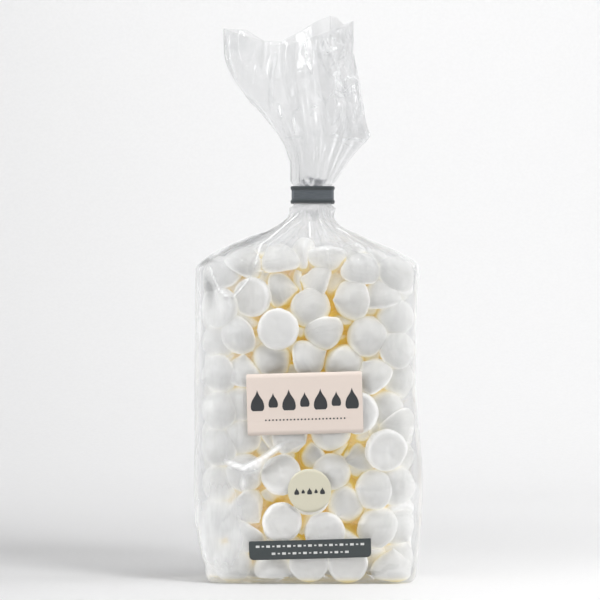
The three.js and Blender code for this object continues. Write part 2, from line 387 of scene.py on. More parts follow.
class GeometryTree(Graph):
    """A geometry tree that sets a shape on points and ends in plain dressed meshes."""

    def __init__(self, name: str, shape: str, **inputs: tuple[str, object]) -> None:
        """Starts the tree.

        Args:
            name: its name.
            shape: the name of the input that takes the shape's object.
            inputs: type and default value of its other inputs, by name, with an underscore for a space.
        """
        super().__init__(bpy.data.node_groups.new(name, "GeometryNodeTree"))
        first = {"Geometry": ("Geometry", None), shape: ("Object", None)}
        for label, (kind, value) in {**first, **inputs, "Finish": ("Material", None)}.items():
            label = label.replace("_", " ")
            socket = self.tree.interface.new_socket(label, in_out="INPUT", socket_type=f"NodeSocket{kind}")
            if value is not None:
                socket.default_value = value
        self.tree.interface.new_socket("Geometry", in_out="OUTPUT", socket_type="NodeSocketGeometry")
        self.given = self.node("NodeGroupInput").outputs
        self.shape = self.out("GeometryNodeObjectInfo", {"Object": self.given[shape]}, "Geometry")

    def set_on(self, points: object, **placing: object) -> NodeTree:
        """Sets the shape on points, makes the copies real, dresses them and ends the tree.

        Args:
            points: where the copies go.
            placing: their Rotation and Scale.

        Returns:
            The tree.
        """
        placing = {"Points": points, "Instance": self.shape, **placing}
        placed = self.out("GeometryNodeInstanceOnPoints", placing)
        real = self.out("GeometryNodeRealizeInstances", {"Geometry": placed})
        dressed = self.out("GeometryNodeSetMaterial", {"Geometry": real, "Material": self.given["Finish"]})
        self.node("NodeGroupOutput", {"Geometry": dressed})
        return self.tree


# ---- Finishes ----


class Paint:
    """A new material and the graph that its looks are built in."""

    def __init__(self, name: str) -> None:
        """Starts an empty material."""
        self.material = bpy.data.materials.new(name)
        self.material.use_nodes = True
        self.material.node_tree.nodes.clear()
        self.graph = Graph(self.material.node_tree)
        self.place = self.graph.place()

    def covered_with(self, kind: str, inputs: dict) -> Material:
        """Ends the material with a shader node of a kind, fed with its inputs."""
        shader = self.graph.node(kind, inputs)
        self.graph.node("ShaderNodeOutputMaterial", {"Surface": shader.outputs[0]})
        return self.material


def opaque(colour: Colour, lighter: float = 1.0) -> tuple[float, float, float, float]:
    """A colour with its alpha, made lighter or darker by a factor."""
    return (*(min(1.0, part * lighter) for part in colour), 1.0)


BLACK = opaque((0.0, 0.0, 0.0))
WHITE = opaque((1.0, 1.0, 1.0))


@dataclass(frozen=True)
class MeringueFinish:
    """Dry matt meringue: off-white outside, golden with painted shade where kisses shade each other, with a
    painted highlight along the base's edge and a painted glow in the gaps.
    """

    dome: Colour = (0.725, 0.72, 0.705)
    base: Colour = (0.82, 0.815, 0.805)
    # Painted highlight: the pale colour along the edge of the flat base.
    painted_rim_highlight: Colour = (0.97, 0.965, 0.955)
    dull: Colour = (0.74, 0.73, 0.70)
    # Painted shade: the golden colours in the gaps between kisses and at the heap's foot.
    painted_shade_warm: Colour = (0.90, 0.84, 0.64)
    deep: Colour = (0.78, 0.59, 0.06)
    painted_scatter_glow: Colour = (0.84, 0.81, 0.70)  # painted glow, emitted where kisses stand close, for light that spreads through them
    glow: Colour = (0.66, 0.51, 0.03)  # and painted glow for the little light that reaches the deepest gaps
    glow_strength: float = 0.22
    roughness: float = 0.82
    cloud_scale: float = 55.0  # this and the next three: lumps a metre
    mottle_scale: float = 380.0
    pit_scale: float = 420.0
    grain_scale: float = 2600.0
    rim_highlight_starts: Pair = (0.0, 0.9)  # millimetres up a kiss between which the painted pale highlight along the base's edge sets in
    rim_highlight_ends: Pair = (1.2, 3.4)
    crowded: Pair = (0.55, 1.4)  # how closely kisses stand round a point, between which its painted shade sets in
    inside: Pair = (1.5, 16.0)  # millimetres behind the film between which a kiss's painted shade sets in
    foot: Pair = (1.0, 5.0)  # millimetres over the bag's base between which the painted golden shade at the kisses' feet fades out
    ring_pitch: float = 2.3  # millimetres between the faint rings that piping leaves
    ring_depth: float = 0.32
    ring_scale: float = 110.0
    relief: float = 0.5 * MM

    def make(self) -> Material:
        """Makes the material."""
        paint = Paint("meringue")
        graph, place = paint.graph, paint.place
        base, rise = graph.attribute("base"), graph.attribute("rise")
        shade = self.shade(graph, place)
        # Painted shade turns the colour golden in the gaps and at the heap's foot.
        colour = graph.blend(shade, self.body(graph, place, base, rise), opaque(self.painted_shade_warm))
        # Painted glow, emitted where kisses stand close and deepest in the gaps.
        glow = graph.blend(graph.ramp(graph.attribute("gap"), 0.2, 0.9), BLACK, opaque(self.painted_scatter_glow))
        return paint.covered_with("ShaderNodeBsdfPrincipled", {
            "Base Color": graph.blend(graph.ramp(shade, 0.45, 0.95), colour, opaque(self.deep)),
            "Roughness": self.roughness,
            "Specular IOR Level": 0.3,
            "Normal": self.normal(graph, place, base, rise),
            "Emission Color": graph.blend(graph.ramp(shade, 0.2, 0.9), glow, opaque(self.glow)),
            "Emission Strength": self.glow_strength,
            "Sheen Weight": 1.0,
            "Sheen Roughness": 0.45,
        })

    def body(self, graph: Graph, place: Value, base: Value, rise: Value) -> Value:
        """The colour in full light: duller in patches, with a pale painted highlight along the edge of the flat
        base.
        """
        cloud = graph.ramp(graph.noise(place, self.cloud_scale, 3.0), 0.35, 0.7)
        mottle = graph.ramp(graph.noise(place, self.mottle_scale, 3.0), 0.52, 0.72)
        duller = (cloud * 0.3 + graph.attribute("tone") * 0.5 + mottle * 0.35).held()
        body = graph.blend(duller, graph.blend(base, opaque(self.dome), opaque(self.base)), opaque(self.dull))
        painted_rim_highlight = graph.ramp(rise, *self.rim_highlight_starts) * graph.ramp(rise, *self.rim_highlight_ends, 0.85, 0.0)
        return graph.blend(painted_rim_highlight, body, opaque(self.painted_rim_highlight))

    def shade(self, graph: Graph, place: Value) -> Value:
        """The painted shade: 1 deep in the gaps between kisses and at the foot of the heap, and 0 where light
        falls freely.
        """
        inside = graph.ramp(graph.attribute("inward"), *self.inside)
        gaps = graph.ramp(graph.attribute("gap"), *self.crowded) * inside
        height = graph.out("ShaderNodeSeparateXYZ", {0: place}, "Z")
        return gaps.held().most(graph.ramp(height, self.foot[0] * MM, self.foot[1] * MM, 0.75, 0.0))

    def normal(self, graph: Graph, place: Value, base: Value, rise: Value) -> Value:
        """The fine relief: dry pits and grain, and on the dome the rings that piping leaves."""
        turns = rise * (1 / self.ring_pitch) + graph.noise(place, self.ring_scale) * 1.6
        rings = graph.maths("SINE", turns * (2 * math.pi)) * ((1.0 - base) * self.ring_depth)
        grain = graph.noise(place, self.grain_scale, 3.0)
        height = grain * 0.25 + (graph.noise(place, self.pit_scale, 3.0) + rings)
        return graph.bump(height, 0.22, self.relief)


@dataclass(frozen=True)
class FilmFinish:
    """Clear packing film: hardly any colour, a sharp gloss and faint milkiness, with creases, facet edges and
    streaks painted white as highlights, and painted shade and reflection in its facets, folds and valleys.
    """

    tint: Colour = (0.982, 0.983, 0.984)
    # Painted shade: the tint that the film takes where it is painted dark.
    dark: Colour = (0.45, 0.46, 0.48)
    bloom: Colour = (0.73, 0.735, 0.74)
    # Painted highlight: the white of creases, of lit facet edges and of the streaks from the neck.
    crease: Colour = (0.94, 0.94, 0.945)
    # Painted glow of the milky film.
    painted_bloom_glow: float = 0.13
    roughness: float = 0.06
    reflection: float = 0.06  # share of light mirrored face on
    # Facets of crumpled film, each given a darker tone as painted reflection, with painted lines along their
    # edges.
    wide_facets: Pair = (62.0, 0.030)  # facets a metre, and their edges' width as a share of a facet
    fine_facets: Pair = (190.0, 0.045)
    relief: float = 1.0 * MM

    def make(self) -> Material:
        """Makes the material."""
        paint = Paint("clear film")
        graph, place = paint.graph, paint.place
        swayed = graph.noise(place, 28.0, 1.0, "Color")
        swayed = graph.vector("MULTIPLY_ADD", swayed, (0.022, 0.022, 0.022), place)
        long = graph.stretched(swayed, (1.0, 1.0, 0.5))
        wide, fine = self.facets(graph, long, *self.wide_facets), self.facets(graph, long, *self.fine_facets)
        rough = graph.ramp(graph.attribute("rough"), 0.0, 1.0, 0.05, 1.0)
        roof = graph.attribute("roof")
        fan = self.fan(graph, place)
        lit = graph.ramp(graph.noise(place, 45.0, 1.0), 0.42, 0.6)  # where facet edges get painted highlights and not painted dark lines
        # Painted shade and painted reflection: a darker tone for each facet, dark lines on facet edges that
        # catch no light, the mesh's painted shade, and dark valleys between the streaks from the neck.
        shade = (wide[0] * 0.05 + fine[0] * 0.04 + (wide[1] + fine[1]) * (1.0 - lit) * 0.10) * rough
        shade = (shade + graph.attribute("dim") * 0.34).held()
        shade = (shade + graph.ramp(fan, 0.30, 0.44, 1.0, 0.0) * roof * 0.12).held()
        amount = (rough * 0.5 + 0.05) * graph.ramp(roof, 0.0, 1.0, 1.0, 0.2)
        crumple = graph.noise(long, 240.0, 3.0) + (wide[0] - wide[1])
        height = graph.noise(long, 70.0) * (rough * 0.4 + 0.4) + crumple * amount + fan * roof
        tint = graph.blend(shade, opaque(self.tint), opaque(self.dark))
        shiny = self.shiny(graph, tint, graph.bump(height, 0.45, self.relief))
        streak = graph.ramp(graph.noise(graph.stretched(place, (1.0, 1.0, 0.22)), 330.0), 0.3, 0.7, 0.8, 1.0)
        # Painted highlights: white along the mesh's creases, on lit facet edges and on the streaks from the
        # neck.
        edges = (wide[1] + fine[1] * 0.5) * lit * rough * 0.4
        rays = graph.ramp(fan, 0.56, 0.66) * lit * roof * 0.3
        line = (graph.attribute("crease") * 0.75).most(edges).most(rays)
        white = graph.blend(graph.ramp(line, 0.15, 0.6), opaque(self.bloom), opaque(self.crease))
        # The milky film, partly its own milkiness and partly painted light, glowing a little.
        milky = graph.out("ShaderNodeBsdfPrincipled", {
            "Base Color": white, "Roughness": 0.4,
            "Emission Color": white, "Emission Strength": self.painted_bloom_glow,
        })
        share = (graph.attribute("haze") * streak).most(line).held()
        return paint.covered_with("ShaderNodeMixShader", {0: share, 1: shiny, 2: milky})

    def shiny(self, graph: Graph, tint: Value, normal: Value) -> Value:
        """Clear film that mirrors more light the more edge on it is seen."""
        edge_on = graph.out("ShaderNodeLayerWeight", {"Blend": 0.5, "Normal": normal}, "Facing")
        mirror = graph.maths("POWER", edge_on, 5.0) * (1.0 - self.reflection) + self.reflection
        clear = graph.out("ShaderNodeBsdfTransparent", {"Color": tint})
        look = {"Color": WHITE, "Roughness": self.roughness, "Normal": normal}
        gloss = graph.out("ShaderNodeBsdfGlossy", look)
        return graph.out("ShaderNodeMixShader", {0: mirror.held(), 1: clear, 2: gloss})

    @staticmethod
    def fan(graph: Graph, place: Value) -> Value:
        """Long streaks that run out from the neck, as values about 0.5."""
        away = graph.vector("ADD", place, (-FORM.neck_x * MM, 0.0, 0.0))
        ray = graph.vector("NORMALIZE", graph.vector("MULTIPLY", away, (1.0, 1.4, 0.0)))
        return graph.noise(graph.vector("MULTIPLY_ADD", place, (0.0, 0.0, 1.0), ray), 15.0, 1.5)

    @staticmethod
    def facets(graph: Graph, place: Value, scale: float, edge: float) -> tuple[Value, Value]:
        """Flat facets of crumpled film.

        Args:
            graph: where the nodes go.
            place: the coordinates.
            scale: facets a metre.
            edge: width of their edges, as a share of a facet.

        Returns:
            A random tone for each facet, used as its painted reflection and its relief, and 1 along its edges.
        """
        where = {"Vector": place, "Scale": scale}
        cells = graph.out("ShaderNodeTexVoronoi", where, "Color", feature="F1")
        away = graph.out("ShaderNodeTexVoronoi", where, "Distance", feature="DISTANCE_TO_EDGE")
        return graph.out("ShaderNodeSeparateColor", {0: cells}), graph.ramp(away, 0.0, edge, 1.0, 0.0)


@dataclass(frozen=True)
class PaperFinish:
    """Satin sticker paper with faint fibres."""

    name: str
    colour: Colour
    roughness: float = 0.42
    fibre: float = 0.10
    cloud: float = 0.12

    def make(self) -> Material:
        """Makes the material."""
        paint = Paint(self.name)
        graph = paint.graph
        fibres = graph.noise(graph.stretched(paint.place, (1.0, 1.0, 5.0)), 700.0, 4.0)
        cloud = graph.noise(paint.place, 60.0)
        colour = graph.blend(
            graph.ramp(fibres, 0.3, 0.7) * self.fibre, opaque(self.colour), opaque(self.colour, 0.86))
        return paint.covered_with("ShaderNodeBsdfPrincipled", {
            "Base Color": graph.blend(cloud * self.cloud, colour, opaque(self.colour, 1.08)),
            "Roughness": graph.ramp(cloud, 0.3, 0.7, self.roughness - 0.05, self.roughness + 0.06),
            "Normal": graph.bump(fibres, 0.08, 0.2 * MM),
        })


@dataclass(frozen=True)
class ClipFinish:
    """Satin dark grey coating with fine lines along it, darker on its ribs."""

    colour: Colour = (0.076, 0.085, 0.094)
    rib: Colour = (0.046, 0.052, 0.055)
    roughness: float = 0.4

    def make(self) -> Material:
        """Makes the material."""
        paint = Paint("coated clip strip")
        graph = paint.graph
        grain = graph.noise(graph.stretched(paint.place, (0.25, 1.0, 4.0)), 900.0, 3.0)
        wear = graph.noise(paint.place, 160.0, 3.0)
        lines = graph.ramp(grain, 0.35, 0.65) * 0.6
        colour = graph.blend(lines, opaque(self.colour), opaque(self.colour, 1.6))
        return paint.covered_with("ShaderNodeBsdfPrincipled", {
            "Base Color": graph.blend(graph.attribute("rib") * 0.9, colour, opaque(self.rib)),
            "Roughness": graph.ramp(wear, 0.3, 0.7, self.roughness - 0.1, self.roughness + 0.08),
            "Normal": graph.bump(grain, 0.3, 0.3 * MM),
        })


# ---- The bag's form ----


@dataclass(frozen=True)
class BagForm:
    """The outer form of the filled bag and its tail, in the same measures as its solid.

    A place round the bag is a share from 0 to 1, anticlockwise from above, starting at the front left corner.
    """

    shoulder: float = 172.5
    roof_top: float = 207.5
    body: tuple[tuple[float, ...], ...] = (
        # height, left half-width, right half-width, half-depth at the corners, squareness of the plan
        (0, 54.5, 58.5, 33, 7),
        (4, 56.5, 61, 34.6, 8),
        (18, 60.4, 63.4, 36, 10),
        (36, 63.4, 64.6, 36.6, 12),
        (60, 64, 65, 37, 12),
        (105, 63.6, 62, 36.6, 12),
        (150, 63.4, 62.4, 36, 12),
        (172.5, 63.2, 63.6, 35.4, 14),
    )
    face_crown: float = 2.6
    gusset_tuck: float = 1.2
    gusset_tuck_roof: float = 8.0
    front_share: float = 26 / 84
    neck_x: float = 3.2
    neck_flare: Pair = (12.8, 5.2)
    neck_waist: Pair = (10.6, 3.3)

    def at_height(self, z: Array) -> Array:
        """Left, right, depth and squareness at heights, along a smooth curve through the body's rows."""
        table = np.array(self.body)
        z = np.clip(np.asarray(z, float), table[0, 0], table[-1, 0])
        last = len(table) - 1
        i = np.clip(np.searchsorted(table[:, 0], z, side="left") - 1, 0, last - 1)
        a, b = table[i], table[i + 1]
        before, after = table[np.maximum(i - 1, 0)], table[np.minimum(i + 2, last)]
        run = (b[..., :1] - a[..., :1])
        t = (z[..., None] - a[..., :1]) / run
        slope_a = (b[..., 1:] - before[..., 1:]) / (b[..., :1] - before[..., :1]) * run
        slope_b = (after[..., 1:] - a[..., 1:]) / (after[..., :1] - a[..., :1]) * run
        t2, t3 = t * t, t * t * t
        start = (2 * t3 - 3 * t2 + 1) * a[..., 1:] + (t3 - 2 * t2 + t) * slope_a
        end = (3 * t2 - 2 * t3) * b[..., 1:] + (t3 - t2) * slope_b
        return start + end

    def on_plan(self, share: Array, squareness: Array | float) -> tuple[Array, Array]:
        """A place round the bag on a superellipse one half-width wide, which is a circle at squareness 2."""
        u = np.asarray(share, float) % 1.0
        front, side = self.front_share, 0.5 - self.front_share
        x = np.select(
            [u < front, u < 0.5, u < 0.5 + front],
            [-1 + 2 * u / front, np.ones_like(u), 1 - 2 * (u - 0.5) / front],
            -np.ones_like(u),
        )
        y = np.select(
            [u < front, u < 0.5, u < 0.5 + front],
            [-np.ones_like(u), -1 + 2 * (u - front) / side, np.ones_like(u)],
            1 - 2 * (u - 0.5 - front) / side,
        )
        n = (np.abs(x) ** squareness + np.abs(y) ** squareness) ** (1 / np.asarray(squareness, float))
        return x / n, y / n

    def tuck(self, px: Array, py: Array, depth: Array | float) -> Array:
        """How far the fold down each side's middle lies in."""
        return depth * smoothstep(np.abs(px), 0.8, 1.0) * (1 - np.minimum(np.abs(py), 1.0)) ** 1.5

    def body_points(self, share: Array, z: Array) -> Array:
        """Points of the body's film."""
        rows = self.at_height(z)
        left, right, depth, squareness = np.moveaxis(rows, -1, 0)
        px, py = self.on_plan(share, squareness)
        width = np.where(px < 0, left, right)
        x = np.sign(px) * (np.abs(px) * width - self.tuck(px, py, self.gusset_tuck))
        y = py * (depth + self.face_crown * (1 - px * px))
        return np.stack([x, y, np.broadcast_to(z, x.shape)], axis=-1)

    def roof_points(self, share: Array, up: Array) -> Array:
        """Points of the roof, from the shoulder at ``up`` 0 to the gathered neck at 1."""
        left, right, depth, squareness = self.body[-1][1:]
        drawn = smoothstep(up, 0, 1)
        drawn_right = smoothstep(np.minimum(1, np.asarray(up) * 1.08), 0, 1)
        px, py = self.on_plan(share, mixed(squareness, 2, 1 - (1 - np.asarray(up)) ** 2))
        half = self.neck_flare[0]
        width = np.where(px < 0, mixed(left, half, drawn), mixed(right, half, drawn_right))
        deep = mixed(self.gusset_tuck, self.gusset_tuck_roof, np.sin(np.pi * np.asarray(up)))
        deep = deep * (1 - np.asarray(up))
        crown = self.face_crown * (1 - px * px) * (1 - drawn)
        x = self.neck_x * drawn + px * width - np.sign(px) * self.tuck(px, py, deep)
        y = py * (mixed(depth, self.neck_flare[1], drawn) + crown)
        return np.stack([x, y, np.broadcast_to(mixed(self.shoulder, self.roof_top, up), x.shape)], axis=-1)

    def half_depth(self, x: Array, z: Array) -> Array:
        """How far the front and the back film lie from the bag's middle plane at a place."""
        left, right, depth, _ = np.moveaxis(self.at_height(z), -1, 0)
        across = np.clip(x / np.where(x < 0, left, right), -1, 1)
        up = np.clip((z - self.shoulder) / (self.roof_top - self.shoulder), 0, 1)
        drawn = smoothstep(up, 0, 1)
        return mixed(depth, self.neck_flare[1], drawn) + self.face_crown * (1 - across * across) * (1 - drawn)

    def drawn_in(self, points: Array, margin: float) -> Array:
        """Points moved in where they would lie nearer to the film than a margin.

        Args:
            points: places in the bag.
            margin: the least distance to the film.

        Returns:
            The places inside.
        """
        x, y, z = points.T
        left, right, _, squareness = np.moveaxis(self.at_height(z), -1, 0)
        drawn = smoothstep(z, self.shoulder, self.roof_top)
        wide = mixed(np.where(x < 0, left, right), self.neck_flare[0], drawn) - margin - self.gusset_tuck
        n = mixed(squareness, 4.0, drawn)
        out = ((np.abs(x) / wide) ** n + (np.abs(y) / (self.half_depth(x, z) - margin)) ** n) ** (1 / n)
        share = 1 / np.maximum(out, 1.0)
        return np.stack([x * share, y * share, np.maximum(z, margin)], -1)


FORM = BagForm()


# ---- Kisses ----


class KissKind(Enum):
    """How a kiss was piped."""

    POINTED = "pointed"
    ROUND = "round"
    BENT = "bent"
    RIDGED = "ridged"


POINTED, ROUND, BENT, RIDGED = KissKind
LEAN = {POINTED: 0.7, ROUND: 0.3, BENT: 3.0, RIDGED: 1.2}  # how far each kind's tip stands out of the middle
SIDE = (  # radius and height of a kiss's profile, from the base's middle up the side
    (0.0, 0.25), (5.0, 0.1), (8.6, 0.0), (9.9, 0.35), (10.7, 1.5), (11.0, 3.3), (10.75, 5.3), (9.9, 7.6),
    (8.4, 9.8),
)
SHARP_TOP = ((6.3, 11.8), (4.0, 13.4), (2.3, 14.6), (1.3, 15.6), (0.7, 16.3), (0.0, 16.6))
BLUNT_TOP = ((6.7, 11.9), (4.9, 13.2), (3.2, 14.0), (1.9, 14.5), (1.0, 14.75), (0.0, 14.85))
PROFILE_RADIUS, PROFILE_HEIGHT = 11.0, 16.6  # the size that the profile is given at


@dataclass(frozen=True)
class Kiss:
    """One piped kiss: a flat base, a round dome and a small tip, standing on z = 0."""

    kind: KissKind = POINTED
    radius: float = 11.35
    height: float = 16.6
    segments: int = 32
    middle: float = 6.4  # height of its middle, which it is turned about
    oval: float = 0.02
    lobes: int = 7
    lobe_depth: float = 0.55
    base_rise: float = 0.9  # how high the flat base's look reaches
    base_radius: float = 10.2

    def outline(self, count: int = 26) -> Array:
        """Radius and height from the base's middle to the tip, as points spread along the profile."""
        knots = np.array(SIDE + (BLUNT_TOP if self.kind is ROUND else SHARP_TOP))
        knots = knots * [self.radius / PROFILE_RADIUS, self.height / PROFILE_HEIGHT]
        steps = np.r_[0.0, np.cumsum(np.hypot(*np.diff(knots, axis=0).T))]
        even = np.linspace(0, steps[-1], count)
        smooth = np.stack([np.interp(even, steps, knots[:, k]) for k in (0, 1)], axis=-1)
        for _ in range(2):
            smooth[1:-1] = 0.25 * smooth[:-2] + 0.5 * smooth[1:-1] + 0.25 * smooth[2:]
        return smooth

    def make(self) -> Object:
        """Makes the mesh, with ``base`` 1 on its flat underside and ``rise`` the height of each point."""
        rings = self.outline()
        turn = np.linspace(0, 2 * np.pi, self.segments, endpoint=False)
        r, z = rings[1:-1, :1], rings[1:-1, 1:]
        up = z / rings[-1, 1]
        lean = LEAN[self.kind]
        swirl = np.zeros((len(r), self.segments))
        if self.kind is RIDGED:
            lobes = np.cos(self.lobes * turn[None] + 1.6 * up * np.pi)
            swirl = self.lobe_depth * lobes * smoothstep(up, 0.08, 0.35) * (1 - smoothstep(up, 0.8, 1.0))
        oval = 1 + self.oval * np.cos(2 * turn[None] + 0.6)
        x = (r + swirl) * oval * np.cos(turn[None])
        y = (r + swirl) / oval * np.sin(turn[None])
        x = x + lean * smoothstep(up, 0.45, 1.05)
        heights = np.broadcast_to(z - 0.06 * lean * x * smoothstep(up, 0.6, 1.0), x.shape)
        grid = np.stack([x, y, heights], axis=-1).reshape(-1, 3)
        points = np.vstack([grid, [0, 0, rings[0, 1]], [lean, 0, rings[-1, 1]]])
        faces = grid_faces(len(r), self.segments, hoop=True)
        faces += cap_faces(len(grid), 0, self.segments, up=False)
        faces += cap_faces(len(grid) + 1, len(grid) - self.segments, self.segments, up=True)
        points[:, 2] -= self.middle
        obj = make_mesh(f"kiss_{self.kind.value}_pattern", points, faces)
        rise = points[:, 2] + self.middle
        under = (rise < self.base_rise) & (np.hypot(points[:, 0], points[:, 1]) < self.base_radius)
        paint(obj, base=under, rise=rise)
        return obj


@dataclass(frozen=True)
class Placed:
    """A kiss that shows through the film: where its middle is and which way its tip points."""

    x: float
    z: float
    tip: Triple
    back: float = 0.0  # how far it lies behind the film
    kind: KissKind = POINTED
    size: float = 1.0


FRONT_KISSES = tuple(Placed(*row) for row in (
    # x, z, way the tip points, how far back, kind if not POINTED, size if not 1
    (-48, 151.4, (0.64, 0.77, 0), 1), (-28.2, 156.8, (0.4, 0.91, 0), 0),
    (-16.1, 137.8, (0.1, 1, 0), 0, POINTED, 1.04), (-13.5, 160.2, (0.8, -0.3, 0.1), 6, RIDGED, 0.98),
    (-14.9, 177.5, (-0.2, -0.5, 0.85), 2, ROUND), (2.7, 151.2, (0.25, -0.9, -0.2), 0, ROUND),
    (4.9, 164.4, (-0.95, -0.1, 0.25), 5, POINTED, 0.98), (23.3, 155.5, (-0.85, -0.5, -0.1), 0, POINTED, 1.04),
    (10.3, 173.5, (0.1, -0.3, -0.95), 7, ROUND), (31.4, 172.5, (0, -0.5, 0.85), 3, ROUND),
    (40.5, 157.8, (-0.1, -0.25, 0.96), 3), (47, 145.2, (-0.2, -0.9, 0.3), 2, ROUND),
    (9.5, 136.5, (0.15, -0.55, -0.8), 2, ROUND), (32, 136.4, (-0.35, -0.85, 0.4), 0, ROUND, 1.05),
    (2.1, 123.5, (0.85, -0.45, 0.2), 1, BENT), (20.5, 120.7, (-0.3, -0.9, 0.2), 2, ROUND),
    (-19.8, 121.3, (0.1, -0.8, -0.5), 4, ROUND), (45.5, 126.3, (0.55, 0.35, -0.75), 9),
    (35, 114.5, (-0.5, -0.4, 0.77), 1), (51, 112, (-0.1, -0.95, -0.1), 3, ROUND, 0.98),
    (-36.8, 116.4, (0.2, -0.3, 0.9), 2), (-42.2, 134.8, (-0.5, -0.7, -0.5), 2, ROUND),
    (-38.4, 97.5, (0.2, -0.9, 0.3), 2, ROUND), (44.3, 96.1, (0.3, -0.8, 0.5), 4, ROUND),
    (29, 93.7, (0.05, 1, 0), 0), (-37.3, 81.6, (-0.2, -0.95, 0.1), 1, ROUND),
    (41.9, 73.5, (-0.5, 0.85, 0.1), 0, POINTED, 1.06), (55, 87.2, (0.1, -0.45, -0.9), 6),
    (-8.3, 80.6, (0.7, -0.6, -0.3), 2, RIDGED), (13.1, 81.7, (0.1, -0.9, -0.3), 1, ROUND),
    (-13.8, 58.5, (0, 0.95, -0.3), 0), (3.2, 67.4, (-0.8, -0.2, -0.5), 7, ROUND, 0.92),
    (14.4, 60.4, (0.1, -0.95, -0.1), 2, ROUND, 0.98), (26, 66.2, (-0.55, -0.8, 0.1), 7, RIDGED),
    (-33.1, 59.6, (0.35, -0.9, 0), 1, BENT), (34.1, 51.2, (-0.5, -0.8, 0.1), 1),
    (52.7, 54.4, (0.2, -0.9, 0.3), 3, ROUND), (-13.8, 33.8, (0, 1, 0), 0, POINTED, 0.98),
    (9.2, 27.6, (0, 1, 0.05), 0), (1.5, 49, (0, 1, 0), 4, POINTED, 0.96),
    (20.5, 42.4, (-0.35, -0.8, -0.5), 5), (37.9, 31.2, (-0.2, -0.85, 0.5), 1, ROUND, 1.02),
    (52.4, 28.4, (0.5, -0.6, -0.6), 6), (-33.3, 40.5, (0.7, -0.4, -0.6), 3, RIDGED),
    (-35.5, 24.5, (-0.45, -0.35, -0.82), 2), (-39.1, 9.6, (0.3, -0.9, 0.1), 2, ROUND, 0.98),
    (-18.2, 10.6, (-0.05, -0.2, 0.98), 2), (1.2, 10.3, (0, 1, 0), 0, POINTED, 0.96),
    (22, 10.9, (-0.1, 1, 0), 0), (46.4, 9.2, (0.1, -0.3, 0.95), 2),
    (-51.3, 35.8, (-0.6, -0.7, 0.2), 4, ROUND), (-52.9, 53.8, (-0.5, -0.8, 0), 4, ROUND),
    (53.5, 70.2, (0.7, -0.5, 0.2), 12), (-52.9, 94.5, (-0.6, -0.7, 0.2), 4, ROUND),
    (-34.6, 177, (0.3, -0.3, 0.9), 4, ROUND), (-47.6, 169.4, (-0.5, -0.3, 0.8), 5),
    (46.9, 171.7, (0.4, -0.5, 0.77), 5, ROUND), (-52.5, 132.6, (-0.6, -0.7, 0), 7, ROUND),
    (-53.6, 114.6, (-0.6, -0.7, -0.2), 4), (-53.8, 74.4, (-0.6, -0.7, -0.2), 4, ROUND),
    (53.6, 129.4, (0.6, -0.7, 0.2), 5, ROUND),
))


@dataclass(frozen=True)
class Placement:
    """Where every kiss of the heap lies."""

    middles: Array
    frames: Array  # a rotation matrix for each
    sizes: Array
    kinds: list[KissKind]


